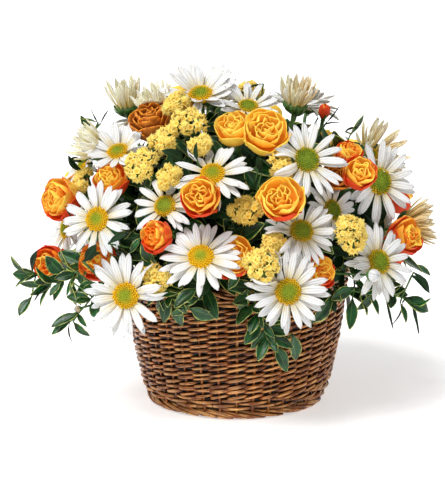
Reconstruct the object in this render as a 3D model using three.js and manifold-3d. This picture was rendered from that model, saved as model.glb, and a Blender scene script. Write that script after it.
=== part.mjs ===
// A flower basket arrangement: a round willow basket, its liner and wet foam block, and cut flowers and
// foliage standing in the foam in a full dome. Millimetres, +Z up, the origin under the middle of the
// basket where it rests, and -Y the side that the arrangement shows first.
//
// Every cut stem is one solid: a daisy spray holds its forked stem and all its blooms, a rose spray its
// roses, a statice spray its clusters of florets, and a sprig its leaves.
import * as THREE from "three";
import { mergeVertices } from "three/addons/utils/BufferGeometryUtils.js";
import Module from "manifold-3d";

const wasm = await Module();
wasm.setup();

// Driving dimensions of the basket, the liner and the foam
const BASKET_HEIGHT = 115;
const RIM_RADIUS = 96;
const FOOT_RADIUS = 76;
const BELLY = 2.5; // how far the side bows out at half height
const WALL_THICKNESS = 5;
const STAKES = 24; // upright rods of the basket's side
const WEAVE_ROWS = 11; // rounds of weaving rods between the foot and the rim
const WEAVE_RELIEF = 1.6;
const RIM_BORDER_RADIUS = 5; // half the thickness of the plaited rim
const FOOT_BORDER_RADIUS = 4.5;
const BORDER_SIDES = 5; // of a border's section
const BORDER_STROKES = 12;
const BOTTOM_CROSSING = 26; // radius of the middle of the bottom, where its sticks cross
const BOTTOM_ROUNDS = 4; // rounds of rods woven about the crossing
const LINER_THICKNESS = 1.5;
const LINER_BELOW_RIM = 4;
const FOAM_TOP = 162;
const FOAM_RADIUS = 54; // of the block where it stands proud of the rim
const ROUND_SEGMENTS = 16; // of the liner, the foam and the bottom
const GAP = 0.4; // clearance between pieces that touch

// Driving dimensions of the plants
const HEART = new THREE.Vector3(0, 0, 112); // the stems aim at this spot in the foam
const STEM_FOOT = 27; // from the heart to a stem's cut end
const STEM_FORK = 68; // from the heart to where a spray forks
const FORK_DEPTH = 4; // how far a side branch starts inside the main stem
const LOWEST_STEM = 15; // degrees above level, so that a stem clears the rim
const STEM_SPACING = 14; // degrees between neighbouring stems
const STEM_RADIUS = 1.8;
const HOLE_RADIUS = 2.5; // of the three-sided hole round a three-sided stem
const BRANCH_RADIUS = 1.4;
const TIP_RADIUS = 0.8;
const STEM_SIDES = 3;
const BRANCH_STEPS = 2;
const SPRIG_STEPS = 6;
const HALF_OPEN = 40; // degrees of cup past which a daisy is half open
const WIDE_DAISY = 56; // width past which an open daisy has the full count of petals
const DISC_HEIGHT = 4; // of a daisy's middle
const LONGEST_PETAL = 1.06; // share of the mean reach
const ROOM_SIDES = 8; // of the room kept round a bloom
const SMOOTHING = 0.12; // slivers finer than this are taken off the fused plants

// The flowers: at = middle of the bloom, look = degrees round from the front to the right and degrees
// up, span = width across the open bloom, cup = degrees that the petals rise from flat.
const DAISIES = {
  daisy_spray_left: [
    { at: [-110, -98, 173], look: [-22, 18], span: 60 },
    { at: [-142, -10, 148], look: [-62, 10], span: 54 },
  ],
  daisy_spray_low_left: [{ at: [-87, -122, 117], look: [-14, 8], span: 64 }],
  daisy_spray_middle: [
    { at: [-28, -141, 151], look: [-6, 42], span: 63 },
    { at: [-56, -113, 186], look: [-20, 34], span: 54 },
  ],
  daisy_spray_low_right: [{ at: [39, -143, 125], look: [8, 12], span: 63 }],
  daisy_spray_right_of_middle: [
    { at: [50, -119, 167], look: [12, 36], span: 58 },
    { at: [75, -88, 178], look: [46, 24], span: 54 },
  ],
  daisy_spray_right: [
    { at: [112, -97, 138], look: [34, 22], span: 62 },
    { at: [143, -28, 155], look: [78, 14], span: 46, cup: 55 },
  ],
  daisy_spray_high_left: [
    { at: [-96, -53, 219], look: [-22, 52], span: 56, cup: 24 },
    { at: [-114, -36, 221], look: [-66, 28], span: 42, cup: 62 },
    { at: [-92, 8, 250], look: [-34, 74], span: 44, cup: 66 },
    { at: [-128, 4, 200], look: [-70, 30], span: 50 },
  ],
  daisy_spray_high_middle: [{ at: [-19, -113, 211], look: [-6, 46], span: 60 }],
  daisy_spray_top: [
    { at: [-29, -34, 263], look: [-10, 60], span: 66, cup: 26 },
    { at: [9, -48, 255], look: [8, 56], span: 52, cup: 22 },
    { at: [-64, -26, 250], look: [-50, 62], span: 42, cup: 60 },
  ],
  daisy_spray_high_right: [
    { at: [54, -103, 221], look: [15, 28], span: 62 },
    { at: [48, -38, 258], look: [24, 70], span: 40, cup: 62 },
  ],
  daisy_spray_far_right: [
    { at: [116, -42, 194], look: [32, 16], span: 70 },
    { at: [113, -14, 212], look: [40, 30], span: 50, cup: 42 },
  ],
  daisy_spray_back_right: [
    { at: [128, 62, 135], look: [114, 14], span: 56 },
    { at: [107, 66, 192], look: [122, 34], span: 56 },
    { at: [64, 66, 243], look: [140, 56], span: 56, cup: 16 },
  ],
  daisy_spray_back_middle: [
    { at: [50, 130, 130], look: [160, 10], span: 62 },
    { at: [36, 116, 192], look: [164, 34], span: 56 },
    { at: [-18, 77, 243], look: [194, 56], span: 56, cup: 14 },
  ],
  daisy_spray_back_left: [
    { at: [-56, 128, 130], look: [204, 10], span: 56 },
    { at: [-60, 108, 190], look: [208, 32], span: 56 },
    { at: [-128, 62, 138], look: [246, 12], span: 56 },
  ],
  daisy_spray_back_high: [
    { at: [-24, 20, 256], look: [200, 80], span: 54, cup: 14 },
    { at: [-84, 34, 234], look: [250, 60], span: 52 },
  ],
  daisy_back_high_right: [{ at: [52, 12, 248], look: [110, 74], span: 52, cup: 14 }],
};

const ROSES = {
  rose_spray_top: [
    { at: [22, -94, 240], look: [4, 36], span: 40 },
    { at: [-3, -80, 241], look: [-16, 50], span: 32 },
  ],
  rose_right_of_middle: [{ at: [34, -136, 194], look: [-6, 34], span: 38 }],
  rose_middle: [{ at: [-28, -137, 197], look: [-10, 22], span: 33 }],
  rose_spray_right: [
    { at: [96, -90, 207], look: [16, 36], span: 30 },
    { at: [79, -78, 204], look: [20, 30], span: 26 },
    { at: [90, -54, 218], look: [30, 46], span: 24 },
  ],
  rose_spray_high_left: [
    { at: [-101, -72, 198], look: [-20, 40], span: 31 },
    { at: [-143, -36, 177], look: [-44, 16], span: 38 },
  ],
  rose_spray_low_left: [
    { at: [-152, -40, 124], look: [-34, 8], span: 34 },
    { at: [-110, -80, 134], look: [-28, 24], span: 34 },
  ],
  rose_left_of_middle: [{ at: [-61, -130, 166], look: [-42, 10], span: 28 }],
  rose_low_middle: [{ at: [-2, -126, 147], look: [-18, 30], span: 36 }],
  rose_low_right: [{ at: [63, -117, 134], look: [28, 18], span: 29 }],
  rose_spray_far_right: [
    { at: [137, -48, 148], look: [46, 20], span: 34 },
    { at: [132, 8, 126], look: [80, 8], span: 32 },
  ],
  rose_high_back_left: [{ at: [-68, -44, 241], look: [-34, 60], span: 40 }],
  rose_bud_high_right: [{ at: [73, -12, 247], look: [22, 72], span: 20, bud: true }],
  rose_spray_back_right: [
    { at: [96, 104, 130], look: [138, 12], span: 40 },
    { at: [78, 96, 200], look: [142, 36], span: 36 },
    { at: [22, 100, 226], look: [168, 50], span: 38 },
  ],
  rose_spray_back_left: [
    { at: [-98, 102, 134], look: [224, 14], span: 40 },
    { at: [-104, 76, 190], look: [234, 32], span: 38 },
    { at: [-48, 58, 246], look: [220, 62], span: 36 },
  ],
  rose_side_right: [
    { at: [104, 36, 200], look: [104, 42], span: 36 },
    { at: [137, 38, 168], look: [102, 20], span: 36 },
  ],
  rose_side_left: [{ at: [-138, 32, 174], look: [256, 22], span: 36 }],
};

const STATICE = {
  statice_high_left: [
    { at: [-37, -78, 247], look: [-20, 50], span: 28 },
    { at: [-48, -58, 259], look: [-30, 62], span: 22 },
    { at: [-28, -98, 231], look: [-22, 44], span: 20 },
  ],
  statice_left: [
    { at: [-57, -82, 232], look: [-30, 44], span: 24 },
    { at: [-74, -92, 214], look: [-34, 36], span: 28 },
    { at: [-52, -110, 208], look: [-24, 34], span: 22 },
  ],
  statice_middle: [{ at: [6, -114, 183], look: [0, 34], span: 28 }],
  statice_low_middle: [
    { at: [19, -146, 147], look: [-24, 16], span: 28 },
    { at: [29, -128, 158], look: [0, 26], span: 22 },
  ],
  statice_right: [
    { at: [88, -114, 164], look: [36, 28], span: 32 },
    { at: [34, -110, 216], look: [14, 36], span: 22 },
  ],
  statice_low_left: [{ at: [-61, -124, 130], look: [-30, 10], span: 26 }],
  statice_far_left: [{ at: [-126, -26, 190], look: [-70, 30], span: 24 }],
  statice_back: [
    { at: [0, 134, 134], look: [182, 12], span: 32 },
    { at: [-10, 118, 196], look: [186, 34], span: 32 },
    { at: [12, 44, 256], look: [150, 72], span: 28 },
  ],
};

// Sprigs of small-leaved foliage: the stem's course after it leaves the foam, the leaves on it, and the
// length of a leaf.
const SPRIGS = {
  sprig_left_long: { path: [[-105, -70, 140], [-140, -70, 119], [-164, -66, 121]], leaves: 8, leaf: 24 },
  sprig_left_low: { path: [[-96, -88, 134], [-116, -102, 110], [-127, -104, 97]], leaves: 6, leaf: 22 },
  sprig_front_left: { path: [[-48, -84, 134], [-56, -116, 118], [-37, -118, 105]], leaves: 7, leaf: 22 },
  sprig_front_right: { path: [[16, -90, 134], [14, -124, 110], [30, -120, 74]], leaves: 9, leaf: 22 },
  sprig_low_right: { path: [[88, -60, 134], [95, -84, 118], [93, -90, 106]], leaves: 5, leaf: 24 },
  sprig_right_long: { path: [[104, -56, 138], [119, -74, 112], [137, -76, 103]], leaves: 7, leaf: 24 },
  sprig_high_left: { path: [[-104, -10, 200], [-114, -10, 218], [-119, -14, 231]], leaves: 6, leaf: 18 },
  sprig_high_right: { path: [[78, -44, 200], [88, -46, 221], [93, -45, 234]], leaves: 6, leaf: 20 },
  sprig_back_right: { path: [[98, 40, 140], [140, 66, 112], [158, 76, 96]], leaves: 7, leaf: 24 },
  sprig_back_middle: { path: [[16, 92, 138], [12, 136, 112], [4, 132, 76]], leaves: 7, leaf: 24 },
  sprig_back_left: { path: [[-90, 60, 142], [-124, 102, 116], [-140, 114, 98]], leaves: 7, leaf: 24 },
  sprig_back_high: { path: [[20, 76, 190], [22, 106, 226], [18, 116, 238]], leaves: 7, leaf: 22 },
};

const MATERIALS = {
  willow: { color: 0x6b3f22, roughness: 0.6, metalness: 0 },
  liner: { color: 0x24362a, roughness: 0.5, metalness: 0 },
  foam: { color: 0x2f5d3a, roughness: 0.95, metalness: 0 },
  daisy: { color: 0xf4f2ea, roughness: 0.55, metalness: 0 },
  rose: { color: 0xf08a1c, roughness: 0.6, metalness: 0 },
  statice: { color: 0xf0c94a, roughness: 0.8, metalness: 0 },
  foliage: { color: 0x2d5a2a, roughness: 0.5, metalness: 0 },
};

// Small helpers
const radians = THREE.MathUtils.degToRad;

/** A repeatable number from -0.5 to 0.5 for two counters. */
function wobble(a, b) {
  const s = Math.sin(a * 12.9898 + b * 78.233) * 43758.5453;
  return s - Math.floor(s) - 0.5;
}

/** The unit vector that looks `around` degrees from the front to the right, and `up` degrees above level. */
function lookVector([around, up]) {
  const a = radians(around);
  const e = radians(up);
  return new THREE.Vector3(Math.sin(a) * Math.cos(e), -Math.cos(a) * Math.cos(e), Math.sin(e));
}

/** Places a head, modelled looking up from the origin, on its bloom's place and look. */
function placement({ at, look }, turn) {
  const forward = lookVector(look);
  const right = new THREE.Vector3(0, 0, 1).cross(forward).normalize();
  const top = new THREE.Vector3().crossVectors(forward, right);
  const matrix = new THREE.Matrix4().makeBasis(right, top, forward);
  matrix.multiply(new THREE.Matrix4().makeRotationZ(turn));
  return matrix.setPosition(...at);
}

/** A closed geometry from points and faces; a face lists its point numbers, anticlockwise from outside. */
function polyhedron(points, faces) {
  const index = faces.flatMap((f) => f.slice(2).flatMap((_, i) => [f[0], f[i + 1], f[i + 2]]));
  const geometry = new THREE.BufferGeometry();
  geometry.setAttribute("position", new THREE.Float32BufferAttribute(points.flat(), 3));
  return geometry.setIndex(index);
}

/** A geometry as a solid for booleans. */
function solid(geometry, matrix = new THREE.Matrix4()) {
  const bare = new THREE.BufferGeometry().setAttribute("position", geometry.getAttribute("position").clone());
  bare.setIndex(geometry.index);
  bare.applyMatrix4(matrix);
  const merged = mergeVertices(bare, 1e-3);
  const vertProperties = merged.getAttribute("position").array;
  const triVerts = new Uint32Array(merged.index.array);
  return new wasm.Manifold(new wasm.Mesh({ numProp: 3, vertProperties, triVerts }));
}

/** A solid back as a geometry. */
function geometryOf(made) {
  const { numProp, vertProperties, triVerts } = made.getMesh();
  const position = new Float32Array((vertProperties.length / numProp) * 3);
  for (let i = 0; i < position.length / 3; i++) {
    position.set(vertProperties.subarray(i * numProp, i * numProp + 3), i * 3);
  }
  const geometry = new THREE.BufferGeometry();
  geometry.setAttribute("position", new THREE.BufferAttribute(position, 3));
  geometry.setIndex(new THREE.BufferAttribute(triVerts, 1));
  return geometry;
}

const join = (solids) => wasm.Manifold.union(solids);

/** The largest body of a solid: scraps that a cut leaves loose are dropped. */
function largest(made) {
  const bodies = made.decompose();
  return bodies.reduce((a, b) => (b.volume() > a.volume() ? b : a));
}

/** A stem through a list of places with a radius at each, and a flat cut at each end. */
function stem(places, radii) {
  const points = [];
  const faces = [];
  const steps = places.length - 1;
  let side = new THREE.Vector3(0.3, 0.2, 1);
  places.forEach((place, i) => {
    const tangent = places[Math.min(i + 1, steps)].clone().sub(places[Math.max(i - 1, 0)]).normalize();
    side = side.clone().addScaledVector(tangent, -side.dot(tangent)).normalize();
    const other = new THREE.Vector3().crossVectors(tangent, side);
    for (let k = 0; k < STEM_SIDES; k++) {
      const a = (2 * Math.PI * k) / STEM_SIDES;
      const p = place.clone().addScaledVector(side, radii[i] * Math.cos(a));
      points.push(p.addScaledVector(other, radii[i] * Math.sin(a)).toArray());
    }
  });
  const ring = (i) => Array.from({ length: STEM_SIDES }, (_, k) => i * STEM_SIDES + k);
  for (let i = 0; i < steps; i++) {
    ring(i).forEach((a, k) => {
      const b = i * STEM_SIDES + ((k + 1) % STEM_SIDES);
      faces.push([a, b, b + STEM_SIDES, a + STEM_SIDES]);
    });
  }
  faces.push(ring(0).reverse(), ring(steps));
  return polyhedron(points, faces);
}

// Basket, liner and foam

/** Radius of the basket's side at a height, with the slight belly of a woven wall. */
function wallRadius(z) {
  const t = z / BASKET_HEIGHT;
  return THREE.MathUtils.lerp(FOOT_RADIUS, RIM_RADIUS, t) + BELLY * Math.sin(Math.PI * t);
}

/** A body of revolution from a profile of [radius, z] points that starts and ends on the axis or closes. */
function turned(profile, segments = ROUND_SEGMENTS) {
  const points = profile.map(([r, z]) => new THREE.Vector2(r, z));
  return new THREE.LatheGeometry(points, segments).rotateX(Math.PI / 2);
}

/** The woven side: rounds of rods that pass in front of one stake and behind the next. */
function basketSide(bottom, top) {
  const points = [];
  const faces = [];
  const levels = 2 * WEAVE_ROWS + 1;
  for (let i = 0; i < levels; i++) {
    const z = THREE.MathUtils.lerp(bottom, top, i / (levels - 1));
    const onRod = i % 2;
    for (let k = 0; k < STAKES; k++) {
      const a = (2 * Math.PI * k) / STAKES;
      const front = ((i - 1) / 2 + k) % 2 ? 1 : -0.3;
      const r = wallRadius(z) + (onRod ? WEAVE_RELIEF * front : -WEAVE_RELIEF);
      points.push([r * Math.cos(a), r * Math.sin(a), z]);
    }
  }
  for (const z of [bottom, top]) {
    for (let k = 0; k < STAKES; k++) {
      const a = (2 * Math.PI * k) / STAKES;
      const r = wallRadius(z) - WALL_THICKNESS;
      points.push([r * Math.cos(a), r * Math.sin(a), z]);
    }
  }
  const at = (i, k) => i * STAKES + (k % STAKES);
  for (let k = 0; k < STAKES; k++) {
    for (let i = 0; i < levels - 1; i++) {
      const slant = (i + k) % 2;
      const quad = [at(i, k), at(i, k + 1), at(i + 1, k + 1), at(i + 1, k)];
      faces.push(slant ? quad : [...quad.slice(1), quad[0]]);
    }
    faces.push([at(levels - 1, k), at(levels - 1, k + 1), at(levels + 1, k + 1), at(levels + 1, k)]);
    faces.push([at(levels + 1, k), at(levels + 1, k + 1), at(levels, k + 1), at(levels, k)]);
    faces.push([at(levels, k), at(levels, k + 1), at(0, k + 1), at(0, k)]);
  }
  return polyhedron(points, faces);
}

/** A plaited border on a flat underside: its section swells and shrinks where its rods cross. */
function border(ringRadius, bottom, thickness) {
  const columns = 2 * BORDER_STROKES;
  const points = [];
  const faces = [];
  const centre = bottom + thickness * Math.cos(Math.PI / BORDER_SIDES);
  for (let k = 0; k < columns; k++) {
    const a = (2 * Math.PI * k) / columns;
    for (let s = 0; s < BORDER_SIDES; s++) {
      const b = ((2 * s + 1) / BORDER_SIDES - 0.5) * Math.PI;
      const underside = s === 0 || s === BORDER_SIDES - 1;
      const swell = thickness * (underside ? 1 : 1 - 0.2 * ((k + s) % 2));
      const r = ringRadius + swell * Math.cos(b);
      points.push([r * Math.cos(a), r * Math.sin(a), centre + swell * Math.sin(b)]);
    }
  }
  for (let k = 0; k < columns; k++) {
    for (let s = 0; s < BORDER_SIDES; s++) {
      const k2 = (k + 1) % columns;
      const s2 = (s + 1) % BORDER_SIDES;
      faces.push([k, k2].map((c) => c * BORDER_SIDES + s).concat([k2, k].map((c) => c * BORDER_SIDES + s2)));
    }
  }
  return polyhedron(points, faces);
}

const borderHeight = (thickness) => thickness * (1 + Math.cos(Math.PI / BORDER_SIDES));
const sideBottom = borderHeight(FOOT_BORDER_RADIUS) + GAP;
const rimBottom = BASKET_HEIGHT - borderHeight(RIM_BORDER_RADIUS);
const sideTop = rimBottom - GAP;
const footRing = FOOT_RADIUS - WALL_THICKNESS / 2; // radius of the middle of the foot border
const rimRing = RIM_RADIUS - WALL_THICKNESS / 2;
const bottomTop = sideBottom - 1;

/** The woven bottom: the crossed sticks in its middle touch the ground, and rounds of rods lie about them. */
function basketBottom() {
  const radius = footRing - FOOT_BORDER_RADIUS - GAP;
  const underside = 2;
  const relief = 1.4;
  const profile = [[0, 0], [BOTTOM_CROSSING, 0]];
  for (let i = 0; i < BOTTOM_ROUNDS; i++) {
    const share = (i + 0.5) / BOTTOM_ROUNDS;
    profile.push([THREE.MathUtils.lerp(BOTTOM_CROSSING, radius, share), underside + relief * (i % 2)]);
  }
  profile.push([radius, underside + relief], [radius, bottomTop], [0, bottomTop]);
  return turned(profile);
}

/** The liner: a plain open pot that keeps the water off the willow. */
function liner() {
  const outer = (z) => wallRadius(z) - WALL_THICKNESS - WEAVE_RELIEF;
  const top = sideTop - LINER_BELOW_RIM;
  const bottom = bottomTop + GAP;
  const corner = 5; // height and width of the chamfer round the foot
  return turned([
    [0, bottom],
    [outer(bottom) - corner, bottom],
    [outer(bottom + corner), bottom + corner],
    [outer(top), top],
    [outer(top) - LINER_THICKNESS, top],
    [outer(bottom + corner) - LINER_THICKNESS, bottom + corner + LINER_THICKNESS / 2],
    [outer(bottom) - corner - LINER_THICKNESS / 2, bottom + LINER_THICKNESS],
    [0, bottom + LINER_THICKNESS],
  ]);
}

/** The foam block, which fills the liner and stands proud of the rim. */
function foamBlock() {
  const bottom = bottomTop + 2 * GAP + LINER_THICKNESS;
  const brim = sideTop - 10;
  const chamfer = 14;
  const fit = (z) => wallRadius(z) - WALL_THICKNESS - WEAVE_RELIEF - LINER_THICKNESS - 1;
  return turned([
    [0, bottom],
    [fit(bottom) - chamfer / 2, bottom],
    [fit(brim), brim],
    [FOAM_RADIUS, brim + chamfer / 2],
    [FOAM_RADIUS, FOAM_TOP - chamfer],
    [FOAM_RADIUS - chamfer, FOAM_TOP],
    [0, FOAM_TOP],
  ]);
}

// Heads and leaves, each modelled looking up from the origin

/** How far from a daisy's middle its petals end; those of a half-open one are as long as an open one's. */
const petalTip = ({ span, cup }) => (cup > HALF_OPEN ? 0.72 : 0.5) * span;

/** A daisy: a domed disc, and one ring of blades whose odd ones lie under the even ones. */
function daisyHead({ span, cup = 7 }, seed) {
  const halfOpen = cup > HALF_OPEN;
  const openCount = span > WIDE_DAISY ? 12 : 10;
  const count = halfOpen ? 8 : openCount;
  const hub = (halfOpen ? 0.12 : 0.16) * span;
  const reach = petalTip({ span, cup }) - hub;
  const halfWidth = 0.095 * span;
  const points = [[0, 0, DISC_HEIGHT]];
  const faces = [];
  const step = (2 * Math.PI) / count;
  for (let k = 0; k < count; k++) {
    const [c, s] = [Math.cos(k * step), Math.sin(k * step)];
    points.push([0.8 * hub * c, 0.8 * hub * s, 0.75 * DISC_HEIGHT], [1.06 * hub * c, 1.06 * hub * s, 0]);
  }
  for (let k = 0; k < count; k++) {
    const middle = (k + 0.5) * step + 0.12 * wobble(seed, k);
    const length = reach * (1 + 0.14 * wobble(seed + 1, k));
    const layer = k % 2 ? -6 : 6;
    const rise = radians(cup + layer + 7 * wobble(seed + 2, k));
    const blade = (along, side, off) => {
      const r = hub + along * length * Math.cos(rise) - off * Math.sin(rise);
      const z = along * length * Math.sin(rise) + off * Math.cos(rise);
      const [c, s] = [Math.cos(middle), Math.sin(middle)];
      return [r * c - side * s, r * s + side * c, z];
    };
    const [left, tip, right, ridge] = [0, 1, 2, 3].map((i) => points.length + i);
    points.push(blade(0.72, -halfWidth, 0.3), blade(1, 0, -0.4));
    points.push(blade(0.76, halfWidth, 0.3), blade(0.5, 0, 0.8));
    const [dome, notch] = [1 + 2 * k, 2 + 2 * k];
    const [nextDome, nextNotch] = [1 + 2 * ((k + 1) % count), 2 + 2 * ((k + 1) % count)];
    faces.push([notch, left, ridge], [left, tip, ridge], [tip, right, ridge], [right, nextNotch, ridge]);
    faces.push([tip, left, notch], [tip, notch, nextNotch], [tip, nextNotch, right]);
    faces.push([0, dome, nextDome], [dome, notch, ridge]);
    faces.push([dome, ridge, nextDome], [nextDome, ridge, nextNotch]);
  }
  faces.push(Array.from({ length: count }, (_, k) => 2 + 2 * (count - 1 - k)));
  return polyhedron(points, faces);
}

/** A rose: two cups of five petals, the inner one turned from the outer, round a pointed heart. */
function roseHead({ span, bud = false }, seed) {
  const size = span / 2;
  const petals = 5;
  const columns = 2 * petals;
  const squeeze = bud ? 0.75 : 1;
  // In shares of half the span: radius and height of a petal's tip, radius and height of the notch beside
  // it, and the turn in half petals.
  const rings = [
    [0.5, -0.6, 0.5, -0.6, 0],
    [1, 0.42, 0.8, 0.12, 0],
    [0.68, 0.04, 0.68, 0.02, 0.4],
    [0.7, 0.64, 0.54, 0.36, 1.2],
    [0.36, 0.3, 0.36, 0.3, 1.6],
  ];
  const points = [[0, 0, 0.72 * size]];
  const faces = [];
  rings.forEach(([tipR, tipZ, notchR, notchZ, turn], i) => {
    for (let k = 0; k < columns; k++) {
      const tip = k % 2 === 0;
      const uneven = 1 + 0.1 * wobble(seed + i, k);
      const r = (tip ? tipR : notchR) * size * squeeze * uneven;
      const a = ((k + turn) * 2 * Math.PI) / columns;
      points.push([r * Math.cos(a), r * Math.sin(a), (tip ? tipZ : notchZ) * size]);
    }
  });
  const at = (i, k) => 1 + i * columns + (k % columns);
  for (let k = 0; k < columns; k++) {
    for (let i = 0; i < rings.length - 1; i++) {
      const [a, b] = [at(i, k), at(i, k + 1)];
      const [c, d] = [at(i + 1, k), at(i + 1, k + 1)];
      faces.push([a, b, c], [c, b, d]);
    }
    faces.push([0, at(rings.length - 1, k), at(rings.length - 1, k + 1)]);
  }
  faces.push(Array.from({ length: columns }, (_, k) => at(0, columns - 1 - k)));
  return polyhedron(points, faces);
}

/** A cluster of statice: a low head whose upper facets each stand up as a pointed floret. */
function staticeHead({ span }, seed) {
  const core = new THREE.OctahedronGeometry(1, 1).getAttribute("position");
  const coreRadius = 0.36 * span;
  const flatness = 0.72;
  const stretch = (v, r) => [v.x * r, v.y * r, v.z * r * flatness];
  const points = [];
  const faces = [];
  for (let i = 0; i < core.count; i += 3) {
    const corners = [0, 1, 2].map((k) => new THREE.Vector3().fromBufferAttribute(core, i + k));
    const apex = corners[0].clone().add(corners[1]).add(corners[2]).normalize();
    const [a, b, c, d] = [0, 1, 2, 3].map((k) => points.length + k);
    points.push(...corners.map((v) => stretch(v, coreRadius)));
    if (apex.z < 0) {
      faces.push([a, b, c]);
    } else {
      points.push(stretch(apex, 0.5 * span * (1 + 0.2 * wobble(seed, i))));
      faces.push([a, b, d], [b, c, d], [c, a, d]);
    }
  }
  return polyhedron(points, faces);
}

/** The room that a head needs: a plain body of revolution round it. */
function headRoom(kind, { span, cup = 7 }) {
  const out = (LONGEST_PETAL * petalTip({ span, cup })) / Math.cos(Math.PI / ROOM_SIDES) + GAP;
  const slant = radians(cup);
  const [edge, edgeHeight] = [out * Math.cos(slant), out * Math.sin(slant)];
  const profiles = {
    daisy: [[0, -5], [0.4 * out, -5], [edge, edgeHeight - 4], [edge, edgeHeight + 5], [0.3 * out, 6], [0, 6]],
    rose: [
      [0, -0.36 * span],
      [0.5 * out, -0.36 * span],
      [out, 0.24 * span],
      [0.7 * out, 0.36 * span],
      [0, 0.42 * span],
    ],
    statice: [
      [0, -0.3 * span],
      [0.8 * out, -0.2 * span],
      [out, 0.1 * span],
      [0.6 * out, 0.36 * span],
      [0, 0.42 * span],
    ],
  };
  return turned(profiles[kind], ROOM_SIDES);
}

/** A leaf along +X from the origin, folded a little on its rib; `grow` makes the room it needs. */
function leafBlade(length, grow = 0) {
  const halfWidth = 0.23 * length + grow;
  const fold = 0.25 * halfWidth;
  const thick = 0.5 + grow;
  const points = [
    [-1 - grow, 0, 0],
    [0.4 * length, -halfWidth, fold],
    [length + grow, 0, -0.06 * length],
    [0.4 * length, halfWidth, fold],
    [0.45 * length, 0, thick],
    [0.45 * length, 0, -thick],
  ];
  const outline = [0, 1, 2, 3];
  return polyhedron(points, outline.flatMap((k) => [[k, (k + 1) % 4, 4], [(k + 1) % 4, k, 5]]));
}

// Stems

/** The mean place of a spray's blooms, which its stem aims at. */
function aimOf(blooms) {
  const sum = blooms.reduce((s, b) => s.add(new THREE.Vector3(...b.at)), new THREE.Vector3());
  return sum.divideScalar(blooms.length);
}

/** Directions of all stems from the heart: each aims at its flowers, and they are eased apart. */
function stemDirections(aims) {
  const directions = aims.map((aim) => aim.clone().sub(HEART).normalize());
  const lowest = Math.sin(radians(LOWEST_STEM));
  for (let pass = 0; pass < 40; pass++) {
    directions.forEach((a, i) => {
      directions.slice(i + 1).forEach((b) => {
        const angle = a.angleTo(b);
        const short = radians(STEM_SPACING) - angle;
        if (short > 0) {
          const apart = a.clone().sub(b).normalize();
          a.addScaledVector(apart, 0.3 * short).normalize();
          b.addScaledVector(apart, -0.3 * short).normalize();
        }
      });
    });
    directions.forEach((d) => {
      if (d.z < lowest) {
        d.z = lowest;
        d.normalize();
      }
    });
  }
  return directions;
}

const alongStem = (direction, distance) => HEART.clone().addScaledVector(direction, distance);

/** The hole for a stem's foot: straight, and through to well outside the foam. */
function stemHole(direction) {
  const ends = [alongStem(direction, STEM_FOOT - GAP), alongStem(direction, 2 * STEM_FORK)];
  return solid(stem(ends, [HOLE_RADIUS, HOLE_RADIUS]));
}

/** Points of a branch's bend from the fork to the back of a bloom. */
function bend(direction, bloom, back) {
  const look = lookVector(bloom.look);
  const end = new THREE.Vector3(...bloom.at).addScaledVector(look, -back);
  const start = alongStem(direction, STEM_FORK);
  const span = start.distanceTo(end);
  const curve = new THREE.CubicBezierCurve3(
    start,
    start.clone().addScaledVector(direction, 0.4 * span),
    end.clone().addScaledVector(look, -0.35 * span),
    end,
  );
  return curve.getPoints(BRANCH_STEPS);
}

/** A spray's stem: its foot runs on into the first branch, and the others fork from it. */
function forkedStem(direction, blooms, back, grow) {
  return blooms.map((bloom, i) => {
    const foot = alongStem(direction, i ? STEM_FORK - FORK_DEPTH : STEM_FOOT - grow);
    const points = [foot, ...bend(direction, bloom, back)];
    const radii = points.map((_, k) => (k < 2 && !i ? STEM_RADIUS : BRANCH_RADIUS) + grow);
    return solid(stem(points, radii));
  });
}

/** A sprig's stem, from the fork's place through its course. */
function sprigCurve(direction, path) {
  const start = alongStem(direction, STEM_FORK);
  return new THREE.CatmullRomCurve3([start, ...path.map((p) => new THREE.Vector3(...p))]);
}

/** A sprig's leaves: in turn to the right and left of the stem, and one at its tip. */
function sprigLeaves(curve, { leaves, leaf }, seed, grow = 0) {
  return Array.from({ length: leaves }, (_, i) => {
    const t = i === leaves - 1 ? 0.985 : 0.42 + (0.54 * i) / (leaves - 1);
    const tangent = curve.getTangent(t);
    const root = curve.getPoint(t);
    const outward = root.clone().sub(HEART).addScaledVector(tangent, -root.clone().sub(HEART).dot(tangent));
    outward.normalize();
    const side = new THREE.Vector3().crossVectors(tangent, outward);
    const spread = i === leaves - 1 ? 0 : radians(58 + 24 * wobble(seed, i)) * (i % 2 ? 1 : -1);
    const along = tangent.clone().multiplyScalar(Math.cos(spread)).addScaledVector(side, Math.sin(spread));
    along.addScaledVector(outward, 0.25 + 0.5 * wobble(seed + 1, i)).normalize();
    const across = new THREE.Vector3().crossVectors(outward, along).normalize();
    const normal = new THREE.Vector3().crossVectors(along, across);
    const matrix = new THREE.Matrix4().makeBasis(along, across, normal).setPosition(root);
    return solid(leafBlade(leaf * (1 + 0.3 * wobble(seed + 2, i)), grow), matrix);
  });
}

// Each plant as its crown of blooms or leaves and its stem, at true size and with the room it needs

const HEADS = {
  daisy: { make: daisyHead, back: -1.5 },
  rose: { make: roseHead, back: 6 },
  statice: { make: staticeHead, back: 4 },
};

function flowerSpray(kind, blooms, direction, seed, grow) {
  const { make, back } = HEADS[kind];
  const crown = blooms.map((bloom, i) => {
    const head = grow ? headRoom(kind, bloom) : make(bloom, seed + i);
    return solid(head, placement(bloom, 2 * Math.PI * wobble(seed, i)));
  });
  return { crown: join(crown), stem: join(forkedStem(direction, blooms, back, grow)) };
}

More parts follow.
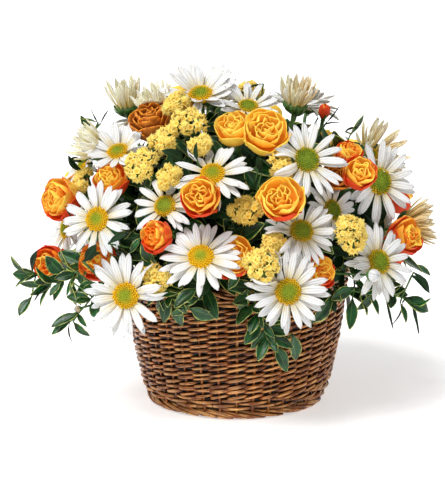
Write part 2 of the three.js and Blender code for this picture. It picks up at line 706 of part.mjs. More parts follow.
function foliageSprig(sprig, direction, seed, grow) {
  const curve = sprigCurve(direction, sprig.path);
  const points = [alongStem(direction, STEM_FOOT - grow), ...curve.getPoints(SPRIG_STEPS)];
  const taper = (i) => THREE.MathUtils.lerp(STEM_RADIUS, TIP_RADIUS, i / (SPRIG_STEPS + 1));
  const radii = points.map((_, i) => taper(i) + grow);
  return {
    crown: join(sprigLeaves(curve, sprig, seed, grow)),
    stem: solid(stem(points, radii)),
  };
}

const plants = [
  ...Object.entries(ROSES).map(([name, blooms]) => ({ name, kind: "rose", blooms })),
  ...Object.entries(STATICE).map(([name, blooms]) => ({ name, kind: "statice", blooms })),
  ...Object.entries(DAISIES).map(([name, blooms]) => ({ name, kind: "daisy", blooms })),
  ...Object.entries(SPRIGS).map(([name, sprig]) => ({ name, kind: "foliage", sprig })),
];

const directions = stemDirections(
  plants.map(({ blooms, sprig }) => (blooms ? aimOf(blooms) : new THREE.Vector3(...sprig.path[0]))),
);

function build(plant, i, grow) {
  return plant.sprig
    ? foliageSprig(plant.sprig, directions[i], 10 * i, grow)
    : flowerSpray(plant.kind, plant.blooms, directions[i], 10 * i, grow);
}

const trueSize = plants.map((plant, i) => build(plant, i, 0));
const withRoom = plants.map((plant, i) => build(plant, i, GAP));

const basketParts = {
  basket_side: solid(basketSide(sideBottom, sideTop)),
  basket_rim_border: solid(border(rimRing, rimBottom, RIM_BORDER_RADIUS)),
  basket_foot_border: solid(border(footRing, 0, FOOT_BORDER_RADIUS)),
  basket_bottom: solid(basketBottom()),
};

/** The space that the basket needs, which leaves and petals keep out of. */
const basketRoom = solid(
  turned(
    [
      [FOOT_RADIUS - 8, 0],
      [FOOT_RADIUS + 4, 0],
      [wallRadius(BASKET_HEIGHT / 2) + 2.4, BASKET_HEIGHT / 2],
      [RIM_RADIUS + 3.5, BASKET_HEIGHT - 9],
      [RIM_RADIUS + 3.5, BASKET_HEIGHT + GAP],
      [RIM_RADIUS - 9, BASKET_HEIGHT + GAP],
      [FOOT_RADIUS - 8, 0],
    ],
    64,
  ),
);

/** A plant cut clear of the stems round it and of the crowns before it, with its loose scraps dropped. */
function clearPlant(i) {
  const others = withRoom.filter((_, j) => j !== i).map((w) => w.stem);
  const before = withRoom.slice(0, i).map((w) => w.crown);
  const crown = trueSize[i].crown.subtract(join([...others, ...before, basketRoom]));
  return largest(join([crown, trueSize[i].stem]).simplify(SMOOTHING));
}

const flowers = plants.map((plant, i) => ({ ...plant, made: clearPlant(i) }));
const foamRoom = join(directions.map(stemHole));

function mesh(name, made, finish) {
  const shown = new THREE.Mesh(geometryOf(made), new THREE.MeshStandardMaterial(MATERIALS[finish]));
  shown.name = name;
  return shown;
}

const basket = new THREE.Group();
Object.entries(basketParts).forEach(([name, made]) => basket.add(mesh(name, made, "willow")));
basket.add(mesh("liner", solid(liner()), "liner"));
basket.add(mesh("foam", solid(foamBlock()).subtract(foamRoom), "foam"));

const planting = new THREE.Group();
flowers.forEach(({ name, kind, made }) => planting.add(mesh(name, made, kind)));

const arrangement = new THREE.Group();
arrangement.add(basket, planting);

export default arrangement;
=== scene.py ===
"""The looks of a basket of daisies, spray roses, statice and foliage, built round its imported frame."""

import logging
import math
from collections.abc import Callable, Sequence
from dataclasses import dataclass, field
from enum import Enum
from functools import cache
from typing import ClassVar

import bpy
import numpy as np
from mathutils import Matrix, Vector
from numpy.typing import NDArray


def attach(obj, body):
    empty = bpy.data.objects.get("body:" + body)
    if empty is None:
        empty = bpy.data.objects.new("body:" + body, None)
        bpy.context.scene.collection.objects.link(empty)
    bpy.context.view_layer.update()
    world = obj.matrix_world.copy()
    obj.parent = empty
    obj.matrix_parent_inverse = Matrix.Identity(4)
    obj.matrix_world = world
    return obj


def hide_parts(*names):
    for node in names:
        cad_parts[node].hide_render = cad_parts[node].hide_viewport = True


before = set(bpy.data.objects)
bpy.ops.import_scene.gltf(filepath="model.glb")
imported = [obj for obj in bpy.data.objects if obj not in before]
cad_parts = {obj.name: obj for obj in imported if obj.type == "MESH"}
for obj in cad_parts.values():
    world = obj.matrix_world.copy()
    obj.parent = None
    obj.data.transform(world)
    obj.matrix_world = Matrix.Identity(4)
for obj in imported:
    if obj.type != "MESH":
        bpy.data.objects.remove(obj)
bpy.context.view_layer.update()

log = logging.getLogger("flower_basket")

Points = NDArray[np.float64]
Faces = NDArray[np.int64]
Flags = NDArray[np.bool_]
Rng = np.random.Generator
Place = tuple[float, float, float]
Colour = tuple[float, float, float, float]
Socket = bpy.types.NodeSocket
Value = float | Colour | Socket
Wires = dict[str | int, Value]

METRES_PER_MM = 0.001

# Sizes of the basket, in millimetres, as in the part's source
BASKET_HEIGHT = 115.0
RIM_RADIUS = 96.0
FOOT_RADIUS = 76.0
BELLY = 2.5
LINER_THICKNESS = 1.5
FOAM_TOP = 162.0
FOAM_RADIUS = 54.0

# Sizes of the plants, in millimetres and degrees, as in the part's source
HEART = np.array([0.0, 0.0, 112.0])
STEM_FOOT = 27.0
STEM_FORK = 68.0
FORK_DEPTH = 4.0
LOWEST_STEM = 15.0
STEM_SPACING = 14.0
STEM_RADIUS = 1.8
BRANCH_RADIUS = 1.4
TIP_RADIUS = 0.8
HALF_OPEN = 40.0
OPEN_CUP = 20.0
WIDE_DAISY = 56.0

# Sizes that only the looks need, in millimetres
PETAL_THICKNESS = 0.4
LEAF_THICKNESS = 0.4
BUD_PETAL_THICKNESS = 0.3
THICK_PETAL = 0.5
BLADE_THICKNESS = 0.5
ROD_SIDES = 7
STALK_SIDES = 6
TWIG_SIDES = 5


def wobble(a: float, b: float) -> float:
    """A repeatable number from -0.5 to 0.5 for two counters."""
    s = math.sin(a * 12.9898 + b * 78.233) * 43758.5453
    return s - math.floor(s) - 0.5


def unit(v: Points) -> Points:
    """The vectors along the last axis, at length 1."""
    return v / np.maximum(np.linalg.norm(v, axis=-1, keepdims=True), 1e-9)


def smooth_step(x: Points, low: float, high: float) -> Points:
    """0 below low, 1 above high, and a smooth rise between them."""
    t = np.clip((x - low) / (high - low), 0.0, 1.0)
    return t * t * (3.0 - 2.0 * t)


def around(count: int) -> Points:
    """The angles of even steps round a circle."""
    return math.tau * np.arange(count) / count


def level(angle: Points) -> Points:
    """Level unit vectors at the angles."""
    return np.column_stack([np.cos(angle), np.sin(angle), np.zeros(len(angle))])


def seed_angles(k: Points) -> Points:
    """Angles that spread counted places evenly, as the seeds in a seed head."""
    return k * math.pi * (3.0 - math.sqrt(5.0))


def spokes(first: Points, second: Points, sides: int) -> Points:
    """Unit vectors all round each place, in the plane of its first and second directions."""
    angle = around(sides)[None, :, None]
    return np.cos(angle) * first[:, None] + np.sin(angle) * second[:, None]


def run(path: Points) -> Points:
    """How far along a path each of its places lies."""
    return np.concatenate([[0.0], np.cumsum(np.linalg.norm(np.diff(path, axis=0), axis=1))])


def poled(profile: Points) -> Points:
    """A profile of radii and heights, with a pole at each end."""
    return np.vstack([[[0.0, profile[0, 1]]], profile, [[0.0, profile[-1, 1]]]])


def wall_radius(z: Points) -> Points:
    """Radius of the basket's side at a height, with the slight belly of a woven wall."""
    t = z / BASKET_HEIGHT
    return FOOT_RADIUS + (RIM_RADIUS - FOOT_RADIUS) * t + BELLY * np.sin(np.pi * t)


# ---- The flowers' places


@dataclass(frozen=True)
class Bloom:
    """A flower's head: its middle, where it looks, and its size.

    x, y, z are millimetres; around is degrees from the front to the right and up is degrees above level;
    span is the width across it; cup is how far a daisy's petals rise from flat; tint is how red a rose
    is, how green a daisy's disc is, or how deep a statice's yellow is, from 0 to 1; broad is the width of
    its petals against the usual one; the last field is 1 for a rose painted brown all over, partly for
    fading and partly as painted shade for a rose that sits in shade.
    """

    x: float
    y: float
    z: float
    around: float
    up: float
    span: float
    tint: float = 0.35
    cup: float = 7.0
    bud: bool = False
    broad: float = 1.0
    faded: float = 0.0

    @property
    def at(self) -> Points:
        """The middle of the bloom."""
        return np.array([self.x, self.y, self.z])

    @property
    def look(self) -> Points:
        """The unit vector that the bloom faces along."""
        a, e = math.radians(self.around), math.radians(self.up)
        return np.array([math.sin(a) * math.cos(e), -math.cos(a) * math.cos(e), math.sin(e)])

    def basis(self, turn: float) -> Points:
        """The bloom's own directions.

        Args:
            turn: the bloom's turn about its own axis.

        Returns:
            Its right, top and forward directions as the columns of a matrix.
        """
        forward = self.look
        right = unit(np.cross([0.0, 0.0, 1.0], forward))
        top = np.cross(forward, right)
        c, s = math.cos(turn), math.sin(turn)
        return np.stack([c * right + s * top, c * top - s * right, forward], axis=1)


B = Bloom

ROSES: dict[str, tuple[Bloom, ...]] = {
    "rose_spray_top": (B(22, -94, 240, 4, 36, 40, 0.15), B(-3, -80, 241, -16, 50, 32, 0.15)),
    "rose_right_of_middle": (B(34, -136, 194, -6, 34, 38, 0.3),),
    "rose_middle": (B(-28, -137, 197, -10, 22, 33, 0.3),),
    # The second rose sits in shade; it is painted brown all over, partly as painted shade.
    "rose_spray_right": (
        B(96, -90, 207, 16, 36, 30, 0.45), B(79, -78, 204, 20, 30, 26, 0.7, faded=1.0),
        B(90, -54, 218, 30, 46, 24, 0.55),
    ),
    "rose_spray_high_left": (B(-101, -72, 198, -20, 40, 31, 0.45), B(-143, -36, 177, -44, 16, 38, 0.4)),
    "rose_spray_low_left": (B(-152, -40, 124, -34, 8, 34, 0.8), B(-110, -80, 134, -28, 24, 34, 0.5)),
    "rose_left_of_middle": (B(-61, -130, 166, -42, 10, 28, 0.72),),
    "rose_low_middle": (B(-2, -126, 147, -18, 30, 36, 0.25),),
    "rose_low_right": (B(63, -117, 134, 28, 18, 29, 0.6),),
    "rose_spray_far_right": (B(137, -48, 148, 46, 20, 34, 0.5), B(132, 8, 126, 80, 8, 32, 0.6)),
    # This rose sits in shade; it is painted brown all over, partly as painted shade.
    "rose_high_back_left": (B(-68, -44, 241, -34, 60, 40, 0.55, faded=1.0),),
    "rose_bud_high_right": (B(73, -12, 247, 22, 72, 20, 1.0, bud=True),),
    "rose_spray_back_right": (
        B(96, 104, 130, 138, 12, 40, 0.3), B(78, 96, 200, 142, 36, 36, 0.45), B(22, 100, 226, 168, 50, 38, 0.2),
    ),
    "rose_spray_back_left": (
        B(-98, 102, 134, 224, 14, 40, 0.3), B(-104, 76, 190, 234, 32, 38, 0.5), B(-48, 58, 246, 220, 62, 36, 0.25),
    ),
    "rose_side_right": (B(104, 36, 200, 104, 42, 36, 0.35), B(137, 38, 168, 102, 20, 36, 0.5)),
    "rose_side_left": (B(-138, 32, 174, 256, 22, 36, 0.4),),
}

STATICE: dict[str, tuple[Bloom, ...]] = {
    "statice_high_left": (
        B(-37, -78, 247, -20, 50, 28, 0.2), B(-48, -58, 259, -30, 62, 22, 0.2), B(-28, -98, 231, -22, 44, 20, 0.25),
    ),
    "statice_left": (
        B(-57, -82, 232, -30, 44, 24, 0.2), B(-74, -92, 214, -34, 36, 28, 0.2), B(-52, -110, 208, -24, 34, 22, 0.25),
    ),
    # This cluster sits in shade; its tint of 0.6 paints it a deeper yellow, partly as painted shade.
    "statice_middle": (B(6, -114, 183, 0, 34, 28, 0.6),),
    "statice_low_middle": (B(19, -146, 147, -24, 16, 28, 0.2), B(29, -128, 158, 0, 26, 22, 0.3)),
    "statice_right": (B(88, -114, 164, 36, 28, 32, 0.2), B(34, -110, 216, 14, 36, 22, 0.5)),
    "statice_low_left": (B(-61, -124, 130, -30, 10, 26, 0.2),),
    "statice_far_left": (B(-126, -26, 190, -70, 30, 24, 0.3),),
    "statice_back": (
        B(0, 134, 134, 182, 12, 32, 0.2), B(-10, 118, 196, 186, 34, 32, 0.2), B(12, 44, 256, 150, 72, 28, 0.3),
    ),
}

DAISIES: dict[str, tuple[Bloom, ...]] = {
    "daisy_spray_left": (B(-110, -98, 173, -22, 18, 60, 0.3), B(-142, -10, 148, -62, 10, 54, 0.4)),
    "daisy_spray_low_left": (B(-87, -122, 117, -14, 8, 64, 0.35),),
    "daisy_spray_middle": (B(-28, -141, 151, -6, 42, 63, 0.2), B(-56, -113, 186, -20, 34, 54, 0.6)),
    "daisy_spray_low_right": (B(39, -143, 125, 8, 12, 63, 0.55),),
    "daisy_spray_right_of_middle": (B(50, -119, 167, 12, 36, 58, 0.7), B(75, -88, 178, 46, 24, 54, 0.8)),
    # The half-open second bloom sits in shade; its tint of 1.0 paints it dark ochre, partly as painted shade.
    "daisy_spray_right": (B(112, -97, 138, 34, 22, 62, 0.7), B(143, -28, 155, 78, 14, 46, 1.0, 55)),
    "daisy_spray_high_left": (
        B(-96, -53, 219, -22, 52, 56, 0.35, 24, broad=1.3), B(-114, -36, 221, -66, 28, 42, 0.2, 62),
        B(-92, 8, 250, -34, 74, 44, 0.2, 66), B(-128, 4, 200, -70, 30, 50, 0.4),
    ),
    "daisy_spray_high_middle": (B(-19, -113, 211, -6, 46, 60, 0.3),),
    "daisy_spray_top": (
        B(-29, -34, 263, -10, 60, 66, 0.4, 26, broad=1.5), B(9, -48, 255, 8, 56, 52, 0.6, 22),
        B(-64, -26, 250, -50, 62, 42, 0.2, 60),
    ),
    "daisy_spray_high_right": (B(54, -103, 221, 15, 28, 62, 0.9), B(48, -38, 258, 24, 70, 40, 0.3, 62)),
    "daisy_spray_far_right": (B(116, -42, 194, 32, 16, 70, 0.8), B(113, -14, 212, 40, 30, 50, 0.3, 42)),
    "daisy_spray_back_right": (
        B(128, 62, 135, 114, 14, 56, 0.4), B(107, 66, 192, 122, 34, 56, 0.6), B(64, 66, 243, 140, 56, 56, 0.4, 16),
    ),
    "daisy_spray_back_middle": (
        B(50, 130, 130, 160, 10, 62, 0.3), B(36, 116, 192, 164, 34, 56, 0.5), B(-18, 77, 243, 194, 56, 56, 0.4, 14),
    ),
    "daisy_spray_back_left": (
        B(-56, 128, 130, 204, 10, 56, 0.5), B(-60, 108, 190, 208, 32, 56, 0.3), B(-128, 62, 138, 246, 12, 56, 0.4),
    ),
    "daisy_spray_back_high": (B(-24, 20, 256, 200, 80, 54, 0.4, 14), B(-84, 34, 234, 250, 60, 52, 0.6)),
    "daisy_back_high_right": (B(52, 12, 248, 110, 74, 52, 0.5, 14),),
}


@dataclass(frozen=True)
class Course:
    """A sprig's way out of the foam: the places that its stem passes, its leaves, and a leaf's length."""

    path: tuple[Place, ...]
    leaves: int
    leaf: float


SPRIGS: dict[str, Course] = {
    "sprig_left_long": Course(((-105, -70, 140), (-140, -70, 119), (-164, -66, 121)), 8, 24),
    "sprig_left_low": Course(((-96, -88, 134), (-116, -102, 110), (-127, -104, 97)), 6, 22),
    "sprig_front_left": Course(((-48, -84, 134), (-56, -116, 118), (-37, -118, 105)), 7, 22),
    "sprig_front_right": Course(((16, -90, 134), (14, -124, 110), (30, -120, 74)), 9, 22),
    "sprig_low_right": Course(((88, -60, 134), (95, -84, 118), (93, -90, 106)), 5, 24),
    "sprig_right_long": Course(((104, -56, 138), (119, -74, 112), (137, -76, 103)), 7, 24),
    "sprig_high_left": Course(((-104, -10, 200), (-114, -10, 218), (-119, -14, 231)), 6, 18),
    "sprig_high_right": Course(((78, -44, 200), (88, -46, 221), (93, -45, 234)), 6, 20),
    "sprig_back_right": Course(((98, 40, 140), (140, 66, 112), (158, 76, 96)), 7, 24),
    "sprig_back_middle": Course(((16, 92, 138), (12, 136, 112), (4, 132, 76)), 7, 24),
    "sprig_back_left": Course(((-90, 60, 142), (-124, 102, 116), (-140, 114, 98)), 7, 24),
    "sprig_back_high": Course(((20, 76, 190), (22, 106, 226), (18, 116, 238)), 7, 22),
}


@dataclass(frozen=True)
class Leaf:
    """A single leaf: its root and tip, its width against the usual one, and whether its margin is pale."""

    root: Place
    tip: Place
    breadth: float
    pale: bool = False


# x, y, z of the root, x, y, z of the tip, breadth, and True where the margin is pale
LEAF_ROWS = (
    (-128, -22, 199, -140, -26, 213, 0.9), (19, -118, 214, 14, -124, 228, 0.7), (18, -118, 225, 26, -126, 219, 0.7),
    (-65, -116, 141, -77, -124, 157, 1.0, True), (-76, -112, 161, -85, -118, 152, 0.9, True),
    (-56, -126, 157, -52, -134, 172, 0.6), (44, -108, 82, 48, -104, 57, 1.0, True),
    (87, -92, 116, 91, -90, 89, 0.95), (58, -110, 91, 80, -104, 109, 0.85, True),
    (94, -94, 116, 75, -100, 111, 0.95, True), (99, -88, 112, 105, -88, 93, 0.8, True),
    (105, -84, 110, 116, -84, 92, 1.0, True), (106, -92, 113, 122, -94, 124, 1.0, True),
    (123, -78, 102, 136, -80, 114, 0.8, True), (121, -78, 105, 125, -76, 76, 0.36),
    (135, -77, 100, 133, -77, 81, 0.42), (142, -77, 101, 149, -75, 75, 0.34), (141, -84, 124, 160, -82, 114, 0.8),
    (-115, -14, 238, -121, -16, 250, 0.28), (-113, -14, 238, -107, -16, 250, 0.28),
    (-115, -14, 239, -130, -18, 242, 0.9, True), (-127, -84, 165, -137, -92, 181, 0.28),
    (-42, -104, 221, -55, -112, 232, 0.9), (-31, -112, 222, -34, -112, 236, 0.7),
    (-13, -72, 242, -7, -76, 254, 0.8), (-172, -70, 124, -182, -76, 138, 1.0, True),
    (-166, -72, 125, -166, -78, 142, 1.0), (-166, -70, 122, -181, -76, 115, 0.7, True),
    (-157, -72, 114, -176, -78, 117, 0.9, True), (-168, -66, 102, -177, -72, 87, 1.1, True),
    (-152, -68, 113, -167, -74, 104, 0.9), (-152, -74, 112, -161, -80, 99, 1.0, True),
    (-146, -78, 117, -163, -84, 130, 1.0, True), (-143, -80, 117, -150, -86, 107, 1.0, True),
    (-134, -92, 120, -127, -98, 103, 1.1, True), (-128, -104, 132, -143, -110, 148, 1.1, True),
    (-122, -112, 142, -109, -118, 151, 0.9), (-133, -102, 91, -149, -108, 84, 0.9, True),
    (-134, -102, 90, -136, -108, 76, 0.6), (-131, -104, 91, -119, -110, 79, 0.9, True),
    (-128, -102, 98, -120, -108, 88, 0.9, True), (-128, -100, 98, -136, -106, 94, 0.8, True),
    (143, -80, 126, 158, -86, 115, 1.0), (145, -78, 98, 157, -84, 105, 1.0, True),
    (133, -78, 100, 137, -84, 85, 0.9, True), (112, -90, 113, 123, -96, 125, 1.0, True),
    (109, -86, 109, 101, -92, 96, 1.0, True), (119, -84, 109, 128, -90, 108, 0.9, True),
    (22, -30, 273, 11, -36, 270, 0.8), (89, -40, 235, 99, -46, 242, 0.8), (-128, -24, 207, -138, -30, 212, 0.9),
    (-120, -118, 143, -110, -122, 156, 0.9), (-131, -92, 120, -129, -96, 102, 0.9, True),
    (-101, -120, 158, -87, -124, 168, 1.0), (-7, -128, 123, 2, -128, 137, 1.0, True),
    (8, -124, 122, 3, -118, 102, 1.0, True), (-61, -122, 116, -48, -126, 123, 1.0, True),
    (-56, -122, 113, -37, -124, 112, 1.0, True), (-62, -120, 113, -60, -114, 95, 0.9, True),
    (-37, -120, 109, -51, -118, 99, 0.9, True), (68, -14, 243, 61, -18, 252, 0.4),
    (75, -14, 239, 87, -16, 250, 0.3), (71, -14, 236, 84, -16, 243, 0.4),
)
SINGLE_LEAVES = tuple(Leaf(row[:3], row[3:6], *row[6:]) for row in LEAF_ROWS)


# ---- Node trees


def linear(c: float) -> float:
    """A channel from 0 to 1 as seen on a screen, as linear light."""
    return c / 12.92 if c <= 0.04045 else ((c + 0.055) / 1.055) ** 2.4


def srgb(red: int, green: int, blue: int) -> Colour:
    """A colour of 0 to 255 as seen on a screen, as the linear colour that a shader takes."""
    return (linear(red / 255), linear(green / 255), linear(blue / 255), 1.0)


class Board:
    """A node tree, with short calls that add nodes and link them."""

    def __init__(self, tree: bpy.types.NodeTree) -> None:
        """Takes a tree and clears it."""
        self.tree = tree
        tree.nodes.clear()

    def add(self, kind: str, wires: Wires | None = None, **settings: object) -> bpy.types.Node:
        """Adds a node.

        Args:
            kind: the node's type.
            wires: an input's name or number, and its value or what feeds it.
            settings: the node's own properties.

        Returns:
            The new node.
        """
        node = self.tree.nodes.new(kind)
        for key, value in settings.items():
            setattr(node, key, value)
        for key, value in (wires or {}).items():
            if isinstance(value, Socket):
                self.tree.links.new(value, node.inputs[key])
            else:
                node.inputs[key].default_value = value
        return node

    @property
    def place(self) -> Socket:
        """Where on the object the surface lies, in metres."""
        return self.add("ShaderNodeTexCoord").outputs["Object"]

    def read(self, paint: Socket) -> None:
        """Keeps a surface's paint, and parts it into how far along, where across, and its tone."""
        self.paint = paint
        self.along, self.across, self.tone = self.add("ShaderNodeSeparateXYZ", {0: paint}).outputs

    def calc(self, operation: str, *values: Value) -> Socket:
        """The result of a Math node on the values."""
        return self.add("ShaderNodeMath", dict(enumerate(values)), operation=operation).outputs[0]

    def times(self, first: Value, second: Value) -> Socket:
        """One value times the other."""
        return self.calc("MULTIPLY", first, second)

    def less(self, first: Value, second: Value) -> Socket:
        """The first value less the second."""
        return self.calc("SUBTRACT", first, second)

    def rest(self, value: Value) -> Socket:
        """What a value lacks of 1."""
        return self.less(1.0, value)

    def line(self, value: Value, slope: Value, start: Value) -> Socket:
        """The value times a slope, from a start."""
        return self.calc("MULTIPLY_ADD", value, slope, start)

    def ramp(self, value: Value, low: float, high: float) -> Socket:
        """0 where the value is at low, 1 at high, and smooth between them; low may be the greater."""
        wires = {"Value": value, "From Min": low, "From Max": high}
        return self.add("ShaderNodeMapRange", wires, interpolation_type="SMOOTHSTEP").outputs[0]

    def blend(self, mask: Value, first: Value, second: Value) -> Socket:
        """The first colour where the mask is 0, and the second where it is 1."""
        return self.add("ShaderNodeMix", {0: mask, 6: first, 7: second}, data_type="RGBA").outputs[2]

    def noise(self, place: Socket, scale: Value, detail: float = 3.0) -> Socket:
        """A cloudy value about 0.5."""
        return self.add("ShaderNodeTexNoise", {"Vector": place, "Scale": scale, "Detail": detail}).outputs[0]

    def effect(self, kind: type["Effect"], **values: float) -> bpy.types.bpy_prop_collection:
        """The outputs of a shared effect, placed with values for its inputs by their names in small letters."""
        wires: Wires = {name.capitalize(): value for name, value in values.items()}
        return self.add("ShaderNodeGroup", wires | kind.paint_wire(self), node_tree=kind.group()).outputs

    def close(self, **values: Value) -> None:
        """Ends a material with its shader; low lines stand for the spaces in the names of its inputs."""
        shader = self.add("ShaderNodeBsdfPrincipled", {name.replace("_", " "): value for name, value in values.items()})
        self.add("ShaderNodeOutputMaterial", {"Surface": shader.outputs[0]})


class Effect(Board):
    """A surface effect that several finishes share: one node group with named inputs and outputs.

    inputs are its numbers with their usual values. A painted effect also takes the surface's paint.
    """

    inputs: ClassVar[dict[str, float]] = {}
    outputs: ClassVar[tuple[str, ...]] = ("Mask",)
    painted: ClassVar[bool] = True

    def __init__(self, tree: bpy.types.NodeTree) -> None:
        """Gives a new group its sockets, and draws in it.

        Args:
            tree: the group.
        """
        super().__init__(tree)
        face = tree.interface
        if self.painted:
            face.new_socket(name="Paint", in_out="INPUT", socket_type="NodeSocketVector")
        for name, value in self.inputs.items():
            socket = face.new_socket(name=name, in_out="INPUT", socket_type="NodeSocketFloat")
            socket.default_value = value
        for name in self.outputs:
            face.new_socket(name=name, in_out="OUTPUT", socket_type="NodeSocketFloat")
        self.ins = self.add("NodeGroupInput").outputs
        self.outs: Wires = {}
        if self.painted:
            self.read(self.ins["Paint"])
        self.draw()
        self.add("NodeGroupOutput", self.outs)

    @classmethod
    def paint_wire(cls, board: Board) -> Wires:
        """The wire of a board's paint, where the effect is a painted one."""
        return {"Paint": board.paint} if cls.painted else {}

    @classmethod
    @cache
    def group(cls) -> bpy.types.NodeTree:
        """The effect's node group, made at its first use."""
        return cls(bpy.data.node_groups.new(cls.__name__, "ShaderNodeTree")).tree

    def draw(self) -> None:
        """Draws the effect, from its inputs to its outputs."""
        raise NotImplementedError


class Ribs(Effect):
    """Lengthwise ribs with a wandering line, as on petals and stems."""

    inputs = {"Count": 4.0, "Wander": 0.3}
    outputs = ("Height", "Groove")

    def draw(self) -> None:
        """Draws a wave across the surface, and a mask of its grooves."""
        wander = self.times(self.noise(self.paint, 4.0), self.ins["Wander"])
        phase = self.line(self.across, self.ins["Count"], wander)
        height = self.line(self.calc("COSINE", self.times(phase, math.pi)), 0.5, 0.5)
        self.outs = {"Height": height, "Groove": self.ramp(height, 0.45, 0.0)}


class Mottle(Effect):
    """Soft patches that differ all over a plant or rod."""

    inputs = {"Scale": 60.0}
    painted = False

    def draw(self) -> None:
        """Draws the patches."""
        self.outs = {"Mask": self.ramp(self.noise(self.place, self.ins["Scale"], 4.0), 0.36, 0.64)}


class Margin(Effect):
    """A band of uneven width along the edge of a leaf or petal, wider at its tip."""

    inputs = {"Width": 0.2, "Wander": 0.3}

    def draw(self) -> None:
        """Draws the band."""
        reach = self.calc("MAXIMUM", self.calc("ABSOLUTE", self.across), self.calc("POWER", self.along, 7.0))
        sway = self.times(self.less(self.noise(self.paint, 5.0), 0.5), self.ins["Wander"])
        inside = self.less(self.calc("ADD", reach, sway), self.rest(self.ins["Width"]))
        self.outs = {"Mask": self.ramp(inside, -0.05, 0.12)}


class Streaks(Effect):
    """Long thin streaks, as in bark and along petals."""

    inputs = {"Length": 1.0, "Fineness": 4.0}
    outputs = ("Mask", "Height")

    def draw(self) -> None:
        """Draws noise that is stretched along the surface, and other noise for each tone."""
        along = self.calc("DIVIDE", self.along, self.ins["Length"])
        across = self.times(self.across, self.ins["Fineness"])
        wires = {0: along, 1: across, 2: self.times(self.tone, 37.0)}
        value = self.noise(self.add("ShaderNodeCombineXYZ", wires).outputs[0], 1.0, 4.0)
        self.outs = {"Mask": self.ramp(value, 0.38, 0.66), "Height": value}


class Veins(Effect):
    """The midrib of a leaf, and fainter side veins that slant away from it."""

    inputs = {"Fineness": 44.0, "Side": 0.35}
    outputs = ("Mask", "Height")

    def draw(self) -> None:
        """Draws the veins."""
        aside = self.calc("ABSOLUTE", self.across)
        rib = self.ramp(aside, 0.12, 0.02)
        wave = self.calc("SINE", self.times(self.line(aside, -0.45, self.along), self.ins["Fineness"]))
        side = self.times(self.ramp(wave, 0.8, 1.0), self.ins["Side"])
        mask = self.calc("MAXIMUM", rib, side)
        self.outs = {"Mask": mask, "Height": self.rest(mask)}


# ---- Finishes


@dataclass(frozen=True)
class Coat:
    """The steady values of a finish.

    glow is how much light spreads under its skin and depth_mm how far; the emission glow is painted light in
    the surface's own colour, which stands in for light that comes through it from behind; bump and relief_mm
    are how strong and how deep its relief is.
    """

    roughness: float
    specular: float
    glow: float = 0.0
    bump: float = 0.4
    relief_mm: float = 0.3
    depth_mm: float = 3.0
    painted_glow: float = 0.0


class Finish(Board):
    """A finish: its coat, and the colour and the relief that it draws on the paint of a piece.

    A piece also has a shade at each point, and each finish says what it is.
    """

    title: ClassVar[str]
    coat: ClassVar[Coat]

    def __init__(self, tree: bpy.types.NodeTree) -> None:
        """Draws the finish and ends it with its shader.

        Args:
            tree: the tree of its new material.
        """
        super().__init__(tree)
        self.read(self.add("ShaderNodeAttribute", attribute_name="paint").outputs["Vector"])
        self.shade = self.add("ShaderNodeAttribute", attribute_name="shade").outputs["Fac"]
        self.colour: Value = srgb(255, 255, 255)
        self.height: Value = 0.5
        self.draw()
        coat = self.coat
        relief = {"Height": self.height, "Strength": coat.bump, "Distance": coat.relief_mm * METRES_PER_MM}
        # The emission in the surface's own colour is painted light, for light that comes through it from behind.
        self.close(
            Base_Color=self.colour, Roughness=coat.roughness, Specular_IOR_Level=coat.specular,
            Subsurface_Weight=coat.glow, Subsurface_Scale=coat.depth_mm * METRES_PER_MM,
            Subsurface_Radius=(1.0, 0.8, 0.55), Emission_Color=self.colour, Emission_Strength=coat.painted_glow,
            Normal=self.add("ShaderNodeBump", relief).outputs[0],
        )

    @classmethod
    @cache
    def material(cls) -> bpy.types.Material:
        """The finish's material, made at its first use.

        Returns:
            The material.
        """
        made = bpy.data.materials.new(cls.title)
        made.use_nodes = True
        cls(made.node_tree)
        return made

    def draw(self) -> None:
        """Sets the colour and the height."""
        raise NotImplementedError

    def lay(self, colour: Value, mask: Value, share: float = 1.0) -> None:
        """Lays a colour over the surface where the mask is 1, as strong as its share."""
        self.colour = self.blend(self.times(mask, share), self.colour, colour)

    def fray(self, value: Value, streaks: bpy.types.bpy_prop_collection, depth: float) -> Socket:
        """A value that streaks raise and lower by half a depth."""
        return self.line(self.less(streaks["Height"], 0.5), depth, value)

    def mottle(self, scale: float, first: Value, second: Value) -> None:
        """Sets two colours in soft patches as the ground of the finish."""
        self.colour = self.blend(self.effect(Mottle, scale=scale)["Mask"], first, second)

    def groove(self, colour: Value, share: float) -> None:
        """Sets three grooves as the relief of a petal, and lays a colour in them as painted shade."""
        ribs = self.effect(Ribs, count=3.0, wander=0.35)
        self.height, self.colour = ribs["Height"], self.blend(self.times(ribs["Groove"], share), self.colour, colour)

    def vein(self, colour: Value, share: float) -> None:
        """Lays a colour along the veins of a leaf, as strong as its share, and sinks them."""
        veins, self.height = self.effect(Veins, fineness=44.0, side=0.35)
        self.lay(colour, veins, share)


